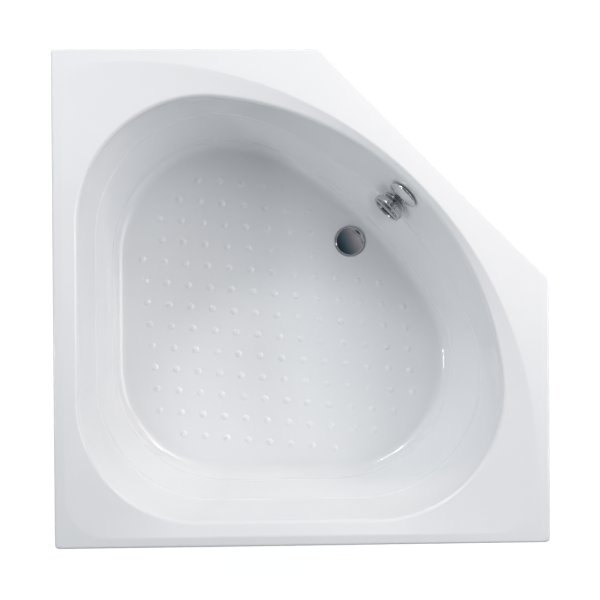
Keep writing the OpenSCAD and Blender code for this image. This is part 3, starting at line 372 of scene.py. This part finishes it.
class Nodes:
    """Short calls for building a material's node tree, with its patterns in the object's own metres."""

    def __init__(self, name):
        self.material = bpy.data.materials.new(name)
        self.material.use_nodes = True
        self.tree = self.material.node_tree
        self.shader = self.tree.nodes["Principled BSDF"]
        self.coords = self.add("ShaderNodeTexCoord").outputs["Object"]

    def add(self, kind, inputs=None, **settings):
        return add_node(self.tree, kind, inputs, **settings)

    def combined(self, operation, a, b):
        return self.add("ShaderNodeMath", {0: a, 1: b}, operation=operation).outputs[0]

    def mapped(self, scale, turn=0):
        return self.add("ShaderNodeMapping", {"Vector": self.coords, "Scale": scale,
                                              "Rotation": (0, 0, turn)}).outputs["Vector"]

    def noise(self, scale, detail, rough=0.5, distortion=0, vector=None):
        return self.add("ShaderNodeTexNoise", {
            "Vector": vector or self.coords, "Scale": scale, "Detail": detail, "Roughness": rough,
            "Distortion": distortion}).outputs["Fac"]

    def cells(self, scale):
        """A grey from 0 to 1 for each cell of a pattern."""
        colour = self.add("ShaderNodeTexVoronoi", {"Vector": self.coords, "Scale": scale}).outputs["Color"]
        return self.add("ShaderNodeSeparateColor", {"Color": colour}).outputs["Red"]

    def span(self, value, low, high, start=0.3, end=0.7):
        """value from start to end mapped to low to high."""
        return self.add("ShaderNodeMapRange", {"Value": value, "From Min": start, "From Max": end,
                                               "To Min": low, "To Max": high}).outputs["Result"]

    def ramp(self, value, stops):
        return ramp_node(self.tree, value, stops)

    def bump(self, height, strength, distance):
        return self.add("ShaderNodeBump", {"Height": height, "Strength": strength,
                                           "Distance": distance}).outputs["Normal"]

    def finish(self, **inputs):
        """Sets the shader's inputs, whose names are written with _ for a space."""
        for key, value in inputs.items():
            set_input(self.tree, self.shader.inputs[key.replace("_", " ")], value)
        return self.material


def shades(colour, amount):
    """A darker and a lighter shade of a colour."""
    return tuple(c * (1 - amount) for c in colour), tuple(min(1, c * (1 + amount)) for c in colour)


ACRYLIC = (0.88, 0.89, 0.90)


def acrylic_material():
    n = Nodes("acrylic")
    cloud = n.noise(2.5, 2)
    fine = n.noise(900, 2)
    low, high = shades(ACRYLIC, 0.008)
    return n.finish(
        Base_Color=n.ramp(cloud, [(0.35, low), (0.65, high)]),
        Roughness=n.span(n.noise(14, 4), 0.07, 0.10),
        IOR=1.49,
        Normal=n.bump(fine, 0.02, 0.0004))


def backing_material():
    n = Nodes("glass_fibre_backing")
    strands = n.noise(260, 4, 0.7, 6)
    lumps = n.noise(30, 4)
    bumps = n.combined("ADD", n.span(strands, 0, 0.5), n.span(lumps, 0, 1))
    return n.finish(
        Base_Color=n.ramp(strands, [(0.3, (0.62, 0.60, 0.50)), (0.5, (0.76, 0.74, 0.64)),
                                    (0.7, (0.85, 0.84, 0.77))]),
        Roughness=n.span(lumps, 0.35, 0.6),
        Normal=n.bump(bumps, 0.6, 0.001))


def metal_material(name, colour, rough, grain=400, stretch=(1, 1, 1), depth=0.02):
    n = Nodes(name)
    smudge = n.noise(30, 4)
    fine = n.noise(grain, 3, vector=n.mapped(stretch))
    low, high = shades(colour, 0.05)
    return n.finish(
        Base_Color=n.ramp(smudge, [(0.35, low), (0.65, high)]),
        Metallic=1.0,
        Roughness=n.span(smudge, rough * 0.8, rough * 1.35),
        Normal=n.bump(fine, depth, 0.0002))


def galvanised_material():
    n = Nodes("galvanised_steel")
    spangle = n.cells(90)
    return n.finish(
        Base_Color=n.ramp(spangle, [(0, (0.42, 0.44, 0.46)), (1, (0.66, 0.68, 0.70))]),
        Metallic=0.9,
        Roughness=n.span(spangle, 0.32, 0.52, 0, 1),
        Normal=n.bump(n.noise(60, 5), 0.08, 0.0006))


def plastic_material(name, colour, rough, grain=500, depth=0.05, spread=0.05):
    n = Nodes(name)
    cloud = n.noise(8, 3)
    low, high = shades(colour, spread)
    return n.finish(
        Base_Color=n.ramp(cloud, [(0.3, low), (0.7, high)]),
        Roughness=n.span(n.noise(40, 4), rough * 0.85, rough * 1.15),
        Normal=n.bump(n.noise(grain, 3), depth, 0.0003))


def chipboard_material():
    n = Nodes("chipboard")
    chips = n.combined("MULTIPLY", n.cells(140), n.noise(300, 4, 0.6, 2))
    return n.finish(
        Base_Color=n.ramp(chips, [(0.1, (0.33, 0.21, 0.11)), (0.3, (0.52, 0.36, 0.20)),
                                  (0.6, (0.68, 0.51, 0.31))]),
        Roughness=n.span(chips, 0.5, 0.8, 0, 0.6),
        Normal=n.bump(chips, 0.35, 0.0008))


def timber_material(name, turn):
    """Softwood whose grain runs along the direction turn, in radians from x."""
    n = Nodes(name)
    along = n.mapped((3, 60, 60), turn)
    rings = n.add("ShaderNodeTexWave", {"Vector": along, "Scale": 0.6, "Distortion": 5, "Detail": 3,
                                        "Detail Scale": 1.2}, bands_direction="Y").outputs["Fac"]
    pores = n.noise(14, 4, 0.6, vector=n.mapped((6, 160, 160), turn))
    both = n.combined("ADD", rings, n.span(pores, 0, 0.35))
    return n.finish(
        Base_Color=n.ramp(both, [(0.1, (0.74, 0.56, 0.34)), (0.6, (0.64, 0.44, 0.24)),
                                 (1.0, (0.50, 0.32, 0.16))]),
        Roughness=n.span(both, 0.5, 0.7, 0, 1),
        Normal=n.bump(both, 0.15, 0.0005))


MATERIALS = {
    "acrylic": acrylic_material(),
    "chipboard": chipboard_material(),
    "timber": timber_material("timber_x", 0),
    "galvanised_steel": galvanised_material(),
    "zinc_steel": metal_material("zinc_steel", (0.66, 0.66, 0.62), 0.3),
    "foot_plastic": plastic_material("foot_plastic", (0.035, 0.035, 0.038), 0.55),
    "seal_rubber": plastic_material("seal_rubber", (0.03, 0.03, 0.03), 0.7, 300, 0.1),
    "chrome": metal_material("chrome", (0.60, 0.61, 0.62), 0.06, 900, depth=0.003),
    "stem_steel": metal_material("stem_steel", (0.62, 0.62, 0.61), 0.25, 60, (1, 1, 12), 0.05),
    "white_pipe": plastic_material("white_pipe", (0.78, 0.79, 0.79), 0.3, 700, 0.02, 0.02),
    "cable_sheath": plastic_material("cable_sheath", (0.04, 0.04, 0.045), 0.5),
    "waste_plastic": plastic_material("waste_plastic", (0.17, 0.175, 0.18), 0.45),
}
BACKING = backing_material()


def dress_frame():
    """Gives every CAD node the material of its slot, with the grain of each batten along it."""
    turned = {"rim_batten_left": math.pi / 2, "rim_batten_right": math.pi / 2,
              "rim_batten_cut": math.pi / 4}
    for row in frame["record"]["subparts"]:
        node = frame["nodes"][row["node"]]
        material = MATERIALS[row["material_slot"]]
        if row["node"] in turned:
            material = timber_material("timber_" + row["node"], turned[row["node"]])
        node.data.materials.clear()
        node.data.materials.append(material)


dress_frame()

# ---- bath shell -----------------------------------------------------------------------------------
# Distance from a rounded edge to the ring that keeps the face beside it flat
SUPPORT = 0.0006
# Bevels of the lip's lower edges and of the corner inside the rim
LIP_BEVEL = 0.001
INNER_BEVEL = 0.002
# Half width of the soft crease between the deck and the shelf
CREASE = 0.003
# The shelf's plane ends this many edge radii inside the bowl's outline. The bowl's edge takes up at most
# this share of the shelf, and meets the wall at this many degrees from level
LIP_IN = 0.87
EDGE_SHARE = 0.4
EDGE_END = 82
# First and last share of the wall's height and number of rings, for the plain wall above and below the
# waist and for its outside, and the share between the wall's ends and their nearest rings
UPPER_WALL = (0.03, 0.46, 12)
LOWER_WALL = (0.58, 0.93, 10)
OUTER_WALL = (0.97, 0.03, 14)
WALL_END = 0.004
# Width of the soft ledge along the waist, and its height as a share of the wall's
WAIST_LEDGE = 0.003
WAIST_RUN = 0.04
# How much of that ledge each direction has: all of it on the diagonals, none at the middle of a side
CORNERS = np.abs(np.sin(np.radians(2 * ANGLES))) ** 0.75
# The line above the floor's fillet: its width, its place and its height as shares of the wall's
FOOT_LINE = 0.001
FOOT_LINE_AT = 0.972
FOOT_LINE_RUN = 0.02
# A ledge swells with this power of the way to its edge, and has rings at these shares below it
LEDGE_POWER = 5
LEDGE_BELOW = np.array([0.002, 0.005, 0.01])
# The floor's fillet starts this many degrees into its quarter turn, about where the leaning wall meets it
FILLET_START = 16
# Rings over the floor, as shares of the way from its fillet to the recess of the waste
FLOOR_RINGS = (0.01, 0.3, 0.7, 0.99)
# The recess of the waste is this much smaller than the solid's and has this soft an edge
RECESS_IN = 0.0015
RECESS_SOFT = 0.0008
# Under the floor: distance from the waste's hole to the next ring, and how far the ring after it stands
# from the fillet, as a share of the way to the waste
UNDER_GAP = 0.001
UNDER_SHARE = 0.02


def ring(reach, z, fall=0):
    x, y = reach * COS, reach * SIN
    return np.stack([x, y, z + fall * floor_rise(x, y)], axis=1)


def rim_ring(by, z):
    return ring(rim_reach(by, ANGLES), z)


def curve_ring(line, z, fall=0):
    return ring(curve_reach(line, ANGLES), z, fall)


def turns(start, end, steps):
    return [math.radians(start + (end - start) * i / steps) for i in range(steps + 1)]


def inner_rings():
    """From the bottom of the lip over the rim, the step and the shelves down to the floor."""
    rings = [rim_ring(0, RIM_H - LIP_DEPTH + LIP_BEVEL), rim_ring(0, RIM_H - RIM_EDGE_R - SUPPORT)]
    rings += [rim_ring(-RIM_EDGE_R * (1 - math.cos(t)), RIM_H - RIM_EDGE_R * (1 - math.sin(t)))
              for t in turns(0, 90, 10)]
    rings += [rim_ring(-RIM_EDGE_R - SUPPORT, RIM_H), curve_ring(DECK + CREASE + SUPPORT, RIM_H)]
    rings += step_rings()
    rings += [wall_ring(s) for s in wall_ring_shares()]
    rings += [curve_ring(FOOT - FILLET_R * (1 - math.cos(t)), FLOOR_Z + FILLET_R * (1 - math.sin(t)), 1)
              for t in turns(FILLET_START, 90, 16)]
    return rings


def bend(start, corner, end, steps):
    """Reach and height along a curve that leaves one line and joins the next, rounding their corner."""
    curve = []
    for t in np.linspace(0, 1, steps):
        curve.append(tuple(a * (1 - t) ** 2 + c * 2 * t * (1 - t) + b * t * t
                           for a, c, b in zip(start, corner, end)))
    return curve


def step_rings():
    """From the deck over a crease, down the sloping shelf and over the bowl's edge."""
    deck, bowl = curve_reach(DECK, ANGLES), curve_reach(BOWL, ANGLES)
    lip = bowl - BOWL_EDGE_R * LIP_IN
    length = np.hypot(deck - lip, RIM_H - BOWL_Z)
    inward, down = (deck - lip) / length, (RIM_H - BOWL_Z) / length
    edge = np.minimum(BOWL_EDGE_R, length * EDGE_SHARE)
    steep = math.radians(EDGE_END)
    wall = (bowl - BOWL_EDGE_R * math.sin(steep), BOWL_Z - BOWL_EDGE_R * (1 - math.cos(steep)))
    crease = bend((deck + CREASE, RIM_H), (deck, RIM_H),
                  (deck - inward * CREASE, RIM_H - down * CREASE), 9)
    over = bend((lip + inward * edge, BOWL_Z + down * edge), (lip, BOWL_Z), wall, 13)
    flat = [(deck - inward * (CREASE + SUPPORT), RIM_H - down * (CREASE + SUPPORT)),
            (lip + inward * (edge + SUPPORT), BOWL_Z + down * (edge + SUPPORT))]
    return [ring(reach, z) for reach, z in crease + flat + over]


def wall_ring_shares():
    """Shares of the wall's height for its rings, closer together at the waist and at the foot line."""
    return np.concatenate([[WALL_END], np.linspace(*UPPER_WALL), ledge_shares(WAIST_AT, WAIST_RUN),
                           np.linspace(*LOWER_WALL), ledge_shares(FOOT_LINE_AT, FOOT_LINE_RUN),
                           [1 - WALL_END]])


def ledge_shares(at, run):
    """Shares of the wall's height for the rings of a soft ledge."""
    return np.concatenate([np.linspace(at - run, at, 15), at + LEDGE_BELOW])


def ledge_rise(share, at, run):
    """From 0 above a soft ledge to 1 at its edge, and back to 0 at the foot of the wall."""
    if share < at:
        return max(0, 1 - (at - share) / run) ** LEDGE_POWER
    return (1 - share) / (1 - at)


def wall_ring(share):
    inward = WAIST_LEDGE * CORNERS * ledge_rise(share, WAIST_AT, WAIST_RUN)
    inward = inward + FOOT_LINE * ledge_rise(share, FOOT_LINE_AT, FOOT_LINE_RUN)
    return ring(curve_reach(wall_line(share), ANGLES) - inward, wall_z(share), share)


def waste_ring(around, r, z, fall=0):
    """A ring round the waste whose points lie towards those of the ring around."""
    turn = np.arctan2(around[:, 1] - WASTE.y, around[:, 0] - WASTE.x)
    x, y = WASTE.x + r * np.cos(turn), WASTE.y + r * np.sin(turn)
    return np.stack([x, y, z + fall * floor_rise(x, y)], axis=1)


def waste_rings(around):
    """From the floor into the recess of the waste and down through its hole."""
    recess_r = WASTE_RECESS_R - RECESS_IN
    edge = waste_ring(around, recess_r, FLOOR_Z, 1)
    rings = [around * (1 - t) + edge * t for t in FLOOR_RINGS] + [edge]
    rings += [waste_ring(around, recess_r - RECESS_SOFT * math.sin(t),
                         FLOOR_Z - RECESS_SOFT * (1 - math.cos(t)), 1) for t in turns(20, 90, 4)]
    rings += [waste_ring(around, recess_r - 2 * RECESS_SOFT, FLOOR_Z - WASTE_RECESS),
              waste_ring(around, WASTE_HOLE_R, FLOOR_Z - WASTE_RECESS),
              waste_ring(around, WASTE_HOLE_R, FLOOR_UNDER)]
    return rings


def outer_rings(around):
    """The underside of the floor, the outside of the wall and the inside of the lip."""
    r = FILLET_R + SHELL_T
    first = curve_ring(FOOT - FILLET_R, FLOOR_UNDER)
    rings = [waste_ring(around, WASTE_HOLE_R + UNDER_GAP, FLOOR_UNDER),
             first * (1 - UNDER_SHARE) + WASTE_POINT * UNDER_SHARE]
    rings += [curve_ring(FOOT + r * math.cos(t) - FILLET_R, FLOOR_Z + FILLET_R - r * math.sin(t))
              for t in turns(90, 0, 10)]
    rings += [curve_ring(wall_line(s) + SHELL_T, wall_z(s)) for s in np.linspace(*OUTER_WALL)]
    rings += [curve_ring(BOWL - BOWL_EDGE_R + SHELL_T, WALL_TOP), curve_ring(BOWL, BOWL_Z - SHELL_T),
              curve_ring(DECK - SHELF_DROP, SHELF_Z - SHELL_T),
              curve_ring(DECK, RIM_H - SHELF_DROP / 2 - SHELL_T / ROOT2),
              curve_ring(DECK + SHELL_T / 3, RIM_H - SHELL_T)]
    rings += [rim_ring(-SHELL_T - INNER_BEVEL, RIM_H - SHELL_T),
              rim_ring(-SHELL_T, RIM_H - SHELL_T - INNER_BEVEL),
              rim_ring(-SHELL_T, RIM_H - LIP_DEPTH + LIP_BEVEL),
              rim_ring(-SHELL_T + LIP_BEVEL, RIM_H - LIP_DEPTH), rim_ring(-LIP_BEVEL, RIM_H - LIP_DEPTH)]
    return rings


def make_shell():
    """The whole shell as one loft, with the backing's material from the floor's underside to the rim."""
    top = inner_rings()
    hole = waste_rings(top[-1])
    under = outer_rings(hole[-1])
    points, faces = loft(top + hole + under)
    lip_rings = 4
    backing_from = (len(top) + len(hole)) * len(ANGLES)
    backing_to = (len(top) + len(hole) + len(under) - lip_rings) * len(ANGLES)
    kind = np.zeros(len(faces), int)
    kind[backing_from:backing_to] = 1
    shell = mesh_object("shell", points, faces, [MATERIALS["acrylic"], BACKING], kind)
    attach(shell, "bath")
    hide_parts("bath_shell")


def stud_places():
    """The staggered lattice of the studs, symmetric about the diagonal, as x, y."""
    rows = math.ceil(HALF_SIDE / STUD_PITCH[1]) * 2
    clear = WASTE_RECESS_R + STUD_R + STUD_CLEAR
    for i in range(-rows, rows + 1):
        for j in range(-rows, rows + 1):
            u, v = i * STUD_PITCH[0] / 2, j * STUD_PITCH[1] / 2
            reach = curve_reach(FOOT - STUD_MARGIN, np.array([45 + math.degrees(math.atan2(v, u))]))[0]
            if (i + j) % 2 == 0 and math.hypot(u, v) < reach and math.hypot(u - WASTE_U, v) > clear:
                yield (u - v) / ROOT2, (u + v) / ROOT2


def make_studs():
    """Low studs, flat over a share of their radius, whose feet are sunk a little into the floor."""
    flat = 0.3
    sunk = 0.0001
    profile = [(STUD_R * (flat + (1 - flat) * t), STUD_H * (1 + math.cos(math.pi * t)) / 2)
               for t in np.linspace(0, 1, 11)]
    profile[-1] = (STUD_R, -sunk)
    one, one_faces = revolve(profile[::-1] + [(0, STUD_H)], 32)
    points, faces = [], []
    for x, y in stud_places():
        base = len(points)
        points += [(x + p[0], y + p[1], FLOOR_Z + floor_rise(x + p[0], y + p[1]) + p[2]) for p in one]
        faces += [tuple(base + i for i in face) for face in one_faces]
    studs = mesh_object("floor_studs", points, faces, [MATERIALS["acrylic"]])
    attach(studs, "bath")


make_shell()
make_studs()

# ---- chrome fittings ------------------------------------------------------------------------------
# Heights of the waste's flange: its underside, on the seal, the plug's seat and its top
SEAL_T = 0.0017
FLANGE_T = 0.0018
FLANGE_RISE = 0.0022
FLANGE_UNDER = FLOOR_Z - WASTE_RECESS + SEAL_T
FLANGE_SEAT = FLANGE_UNDER + FLANGE_T
FLANGE_TOP = FLANGE_SEAT + FLANGE_RISE
FLANGE_BEVEL = 0.0003
FLANGE_ROUND = 0.0006
# The flange's lip round the plug, its bevel and that of the bore, and the tail below
PLUG_GAP = 0.0006
LIP_EDGE = 0.0002
BORE_R = 0.020
BORE_BEVEL = 0.001
TAIL_R = 0.024
TAIL_DROP = 0.014
# The plug's cap, which lies on its seal, with a hub round its stem
PLUG_R = 0.0352
PLUG_SEAL_T = 0.002
PLUG_UNDER = FLANGE_SEAT + PLUG_SEAL_T
PLUG_EDGE = 0.0015
PLUG_DOME = 0.003
PLUG_BEVEL = (0.0008, 0.0007)
STEM_R = 0.004
HUB_R = 0.007
HUB_DROP = 0.006
# The overflow's cover: a shallow dome with a skirt, open at the back
OVERFLOW_R = 0.0365
OVERFLOW_BACK = 0.0045
OVERFLOW_SKIN = 0.0018
OVERFLOW_SKIRT = 0.0035
OVERFLOW_DOME = 0.005
OVERFLOW_BEVEL = 0.0006
# The knob: heights from the wall, radii, and the grip between two recesses in its face
KNOB_R = 0.037
KNOB_BACK = 0.007
KNOB_T = 0.024
KNOB_TOP = KNOB_BACK + KNOB_T
KNOB_EDGE = 0.0015
KNOB_RIM = 0.0125
KNOB_NECK_R = 0.011
KNOB_FOOT_R = 0.032
KNOB_BORE_R = 0.0035
KNOB_WALL = 0.004
GRIP_W = 0.014
RECESS = 0.010
RECESS_EDGE = 0.0016
FLUTES = 30
FLUTE_DEPTH = 0.0007
# Small steps of the knob's profile: rings beside an edge, its bevel, the neck's upper end, the corner that
# the flare's curve rounds, and the flare's foot
KNOB_SUPPORT = 0.001
KNOB_BEVEL = 0.0003
NECK_ROUND = 0.0005
FLARE_CORNER = (0.004, 0.005)
FLARE_BEVEL = (0.0006, 0.0004)
# Points round the knob, rings of its face, and points round the other pieces
KNOB_POINTS = 360
KNOB_RINGS = 100
TURNED_POINTS = 128


def turned_piece(name, profile, matrix, body, slot, *nodes):
    """A piece turned from a profile, which rides a body and stands for the nodes."""
    points, faces = revolve(profile, TURNED_POINTS)
    piece = mesh_object(name, placed(points, matrix), faces, [MATERIALS[slot]])
    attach(piece, body)
    if nodes:
        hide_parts(*nodes)


def dome(r, rise, z):
    """Profile of a shallow dome from its edge to its top."""
    ball = (r * r + rise * rise) / (2 * rise)
    slope = math.asin(r / ball)
    steps = 24
    return [(ball * math.sin(slope * (1 - i / steps)),
             z + rise - ball * (1 - math.cos(slope * (1 - i / steps)))) for i in range(steps + 1)]


def make_waste():
    lip = PLUG_R + PLUG_GAP
    tail_bottom = FLOOR_UNDER - TAIL_DROP
    profile = rounded([
        (BORE_R, tail_bottom), (TAIL_R, tail_bottom), (TAIL_R, FLANGE_UNDER), (WASTE_R, FLANGE_UNDER),
        (WASTE_R, FLANGE_TOP - FLANGE_BEVEL), (WASTE_R - FLANGE_BEVEL, FLANGE_TOP),
        (lip + LIP_EDGE, FLANGE_TOP), (lip, FLANGE_TOP - LIP_EDGE), (lip, FLANGE_SEAT),
        (BORE_R + BORE_BEVEL, FLANGE_SEAT), (BORE_R, FLANGE_SEAT - BORE_BEVEL), (BORE_R, tail_bottom)],
        FLANGE_ROUND, 4)
    turned_piece("waste_ring", profile, waste_matrix(), "bath", "chrome")


def make_plug():
    hub_bottom = FLANGE_SEAT - HUB_DROP
    inward, up = PLUG_BEVEL
    cap = [(STEM_R, hub_bottom), (HUB_R, hub_bottom), (HUB_R, PLUG_UNDER), (PLUG_R - inward, PLUG_UNDER),
           (PLUG_R, PLUG_UNDER + up)]
    cap += dome(PLUG_R, PLUG_DOME, PLUG_UNDER + PLUG_EDGE)
    turned_piece("plug_cap", cap, waste_matrix(), "plug", "chrome", "plug_dome")


def make_overflow():
    r, back, skin = OVERFLOW_R, OVERFLOW_BACK, OVERFLOW_SKIN
    outer = dome(r, OVERFLOW_DOME, back + OVERFLOW_SKIRT + skin)
    inner = [(p[0] * (1 - skin / r), p[1] - skin) for p in outer[::-1]]
    profile = inner + [(r - skin, back), (r - OVERFLOW_BEVEL, back), (r, back + OVERFLOW_BEVEL)] + outer
    turned_piece("overflow_disc", profile, wall_matrix(OVERFLOW_Z), "bath", "chrome", "overflow_cover")


def smooth_step(x):
    x = max(0, min(1, x))
    return x * x * (3 - 2 * x)


def knob_face():
    """The face as rings of points: a dish with a grip across its middle."""
    points = []
    for k in range(1, KNOB_RINGS + 1):
        r = (KNOB_R - KNOB_EDGE) * k / KNOB_RINGS
        for x, y, z in circle(r, KNOB_TOP, KNOB_POINTS):
            inside = min(KNOB_R - KNOB_WALL - r, abs(y) - GRIP_W / 2)
            points.append((x, y, z - RECESS * smooth_step(inside / RECESS_EDGE)))
    return points


def knob_outline():
    """Profiles of the knob's fluted rim, and of the back and the flare that reaches to the wall."""
    rim_end = KNOB_TOP - KNOB_RIM
    rim = [(KNOB_R, KNOB_TOP - KNOB_EDGE - KNOB_SUPPORT), (KNOB_R, rim_end + KNOB_SUPPORT),
           (KNOB_R - KNOB_BEVEL, rim_end + KNOB_BEVEL)]
    back = [(KNOB_R - KNOB_SUPPORT, rim_end), (KNOB_NECK_R + KNOB_SUPPORT, rim_end)]
    corner = (KNOB_NECK_R + FLARE_CORNER[0], KNOB_BACK + FLARE_CORNER[1])
    back += bend((KNOB_NECK_R, rim_end - NECK_ROUND), corner, (KNOB_FOOT_R, KNOB_BACK + KNOB_SUPPORT), 9)
    back += [(KNOB_FOOT_R, KNOB_BACK + FLARE_BEVEL[1]), (KNOB_FOOT_R - FLARE_BEVEL[0], KNOB_BACK),
             (KNOB_BORE_R, KNOB_BACK)]
    return rim, back


def fluted_circle(r, z):
    points = []
    for i in range(KNOB_POINTS):
        t = 2 * math.pi * i / KNOB_POINTS
        cut = FLUTE_DEPTH * abs(math.sin(FLUTES / 2 * t)) ** 0.5
        points.append(((r - cut) * math.cos(t), (r - cut) * math.sin(t), z))
    return points


def knob_side():
    """The rolled edge, the fluted rim, the back and the flare, as rings of points."""
    rim, back = knob_outline()
    edge = [(KNOB_R - KNOB_EDGE * (1 - math.sin(t)), KNOB_TOP - KNOB_EDGE * (1 - math.cos(t)))
            for t in turns(15, 90, 6)]
    rings = [circle(r, z, KNOB_POINTS) for r, z in edge] + [fluted_circle(r, z) for r, z in rim]
    rings += [circle(r, z, KNOB_POINTS) for r, z in back]
    return [point for points in rings for point in points]


def make_knob():
    count = KNOB_POINTS
    points = [(0, 0, KNOB_TOP)] + knob_face() + knob_side()
    faces = [(0, 1 + i, 1 + (i + 1) % count) for i in range(count)]
    for k in range((len(points) - 1) // count - 1):
        a, b = 1 + k * count, 1 + (k + 1) * count
        faces += [(a + i, b + i, b + (i + 1) % count, a + (i + 1) % count) for i in range(count)]
    knob = mesh_object("knob", placed(points, wall_matrix(CONTROL_Z)), faces, [MATERIALS["chrome"]])
    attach(knob, "turn_knob")
    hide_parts("control_knob")


make_waste()
make_plug()
make_overflow()
make_knob()

# ---- floor, light and world -----------------------------------------------------------------------
FLOOR_REACH = 40
# How white the floor looks to the camera before light and shadow are added, how much of them it shows
# there, and how much light it throws back
FLOOR_WHITE = 0.86
FLOOR_SHADE = 0.35
FLOOR_GREY = 0.8


def grey(value):
    return (value, value, value, 1)


def mixed(tree, share, first, second):
    """A shader that goes from the first shader to the second one as the share goes from 0 to 1."""
    return add_node(tree, "ShaderNodeMixShader", {0: share, 1: first, 2: second}).outputs[0]


def shader(tree, kind, **inputs):
    return add_node(tree, kind, inputs).outputs[0]


def seen_directly(tree, mirrored=False):
    """1 for rays straight from the camera, or also for those of metal and glass, and otherwise 0."""
    path = add_node(tree, "ShaderNodeLightPath")
    seen = path.outputs["Is Camera Ray"]
    for kind in ("Is Glossy Ray", "Is Transmission Ray") if mirrored else ():
        seen = add_node(tree, "ShaderNodeMath", {0: seen, 1: path.outputs[kind]},
                        operation="MAXIMUM").outputs[0]
    return seen


def floor_material():
    """White to the camera, which sees through it, and to mirrors, with shadows. Grey to other light."""
    material = bpy.data.materials.new("floor")
    material.use_nodes = True
    tree = material.node_tree
    tree.nodes.clear()
    white = shader(tree, "ShaderNodeEmission", Strength=FLOOR_WHITE)
    clear = shader(tree, "ShaderNodeBsdfTransparent", Color=grey(FLOOR_WHITE))
    behind = mixed(tree, seen_directly(tree), white, clear)
    shade = shader(tree, "ShaderNodeBsdfDiffuse", Color=grey(FLOOR_SHADE))
    seen = add_node(tree, "ShaderNodeAddShader", {0: behind, 1: shade}).outputs[0]
    plain = shader(tree, "ShaderNodeBsdfDiffuse", Color=grey(FLOOR_GREY))
    add_node(tree, "ShaderNodeOutputMaterial",
             {"Surface": mixed(tree, seen_directly(tree, True), plain, seen)})
    return material


def make_floor():
    """A pale floor. The camera sees through it, so a foot screwed out below it still shows."""
    far = FLOOR_REACH
    floor = mesh_object("floor", [(-far, -far, 0), (far, -far, 0), (far, far, 0), (-far, far, 0)],
                        [(0, 1, 2, 3)], [floor_material()])


# The studio around the bath: the colour of its walls, and the colours of its ceiling from the side that
# lies left and near to the side that lies right and far, turned by these degrees
WORLD_WALLS = (0.284, 0.298, 0.306)
WORLD_CEILING = [(0.36, (0.008, 0.012, 0.022)), (0.46, (0.045, 0.08, 0.10)), (0.54, (0.15, 0.165, 0.185)),
                 (0.62, (0.31, 0.285, 0.315)), (0.655, (0.38, 0.38, 0.40)), (0.69, (0.03, 0.03, 0.035))]
CEILING_TURN = -25
# The walls turn into the ceiling between these heights of a direction, where 1 is straight up
CEILING_FROM = 0.74
CEILING_TO = 0.86


def make_world():
    """The studio lights the bath, and the camera sees white in its place."""
    world = bpy.data.worlds.new("studio")
    bpy.context.scene.world = world
    world.use_nodes = True
    tree = world.node_tree
    tree.nodes.clear()
    light = shader(tree, "ShaderNodeBackground", Color=studio_colour(tree))
    white = shader(tree, "ShaderNodeBackground", Color=grey(1))
    add_node(tree, "ShaderNodeOutputWorld", {"Surface": mixed(tree, seen_directly(tree), light, white)})


def studio_colour(tree):
    """The colour of the studio's walls, and above them that of its ceiling."""
    way = add_node(tree, "ShaderNodeTexCoord").outputs["Generated"]
    turned = add_node(tree, "ShaderNodeMapping",
                      {"Vector": way, "Rotation": (0, 0, math.radians(CEILING_TURN))}).outputs["Vector"]
    split = add_node(tree, "ShaderNodeSeparateXYZ", {0: turned})
    place = add_node(tree, "ShaderNodeMapRange", {"Value": split.outputs["X"], "From Min": -1})
    above = add_node(tree, "ShaderNodeMapRange",
                     {"Value": split.outputs["Z"], "From Min": CEILING_FROM, "From Max": CEILING_TO},
                     interpolation_type="SMOOTHSTEP")
    ceiling = ramp_node(tree, place.outputs["Result"], WORLD_CEILING)
    return add_node(tree, "ShaderNodeMix",
                    {"Factor": above.outputs["Result"], "A": (*WORLD_WALLS, 1), "B": ceiling},
                    data_type="RGBA").outputs["Result"]


# Studio lights: azimuth from far over right and height in degrees, distance from the lit point, width,
# depth, watts and colour
LIGHTS = {
    "near_light": (45, 32, 1.8, 0.26, 0.18, 5.5, (1, 0.84, 0.79)),
    "high_light": (45, 50, 2.6, 1.2, 1.2, 14.6, (1, 0.97, 0.90)),
    "far_light": (315, 38, 3.05, 1.8, 1.8, 14, (0.93, 0.95, 1)),
    "far_strip": (332, 36, 3.05, 0.8, 0.3, 16.5, (1, 1, 1)),
    "west_strip": (262, 36, 3.05, 0.5, 0.26, 12, (0.95, 0.97, 1)),
    "east_light": (90, 42, 3.0, 1.6, 1.6, 28, (0.92, 0.935, 1)),
}
LIT_POINT = Vector((0, 0, 0.4))


def make_lights():
    for name, (azimuth, height, distance, width, depth, power, colour) in LIGHTS.items():
        turn, rise = math.radians(azimuth), math.radians(height)
        way = Vector((math.cos(rise) * math.sin(turn), math.cos(rise) * math.cos(turn), math.sin(rise)))
        data = bpy.data.lights.new(name, "AREA")
        data.shape = "RECTANGLE"
        data.size = width
        data.size_y = depth
        data.energy = power
        data.color = colour
        light = bpy.data.objects.new(name, data)
        bpy.context.scene.collection.objects.link(light)
        light.location = LIT_POINT + way * distance
        light.rotation_mode = "QUATERNION"
        light.rotation_quaternion = (-way).to_track_quat("-Z", "Y")


make_floor()
make_world()
make_lights()
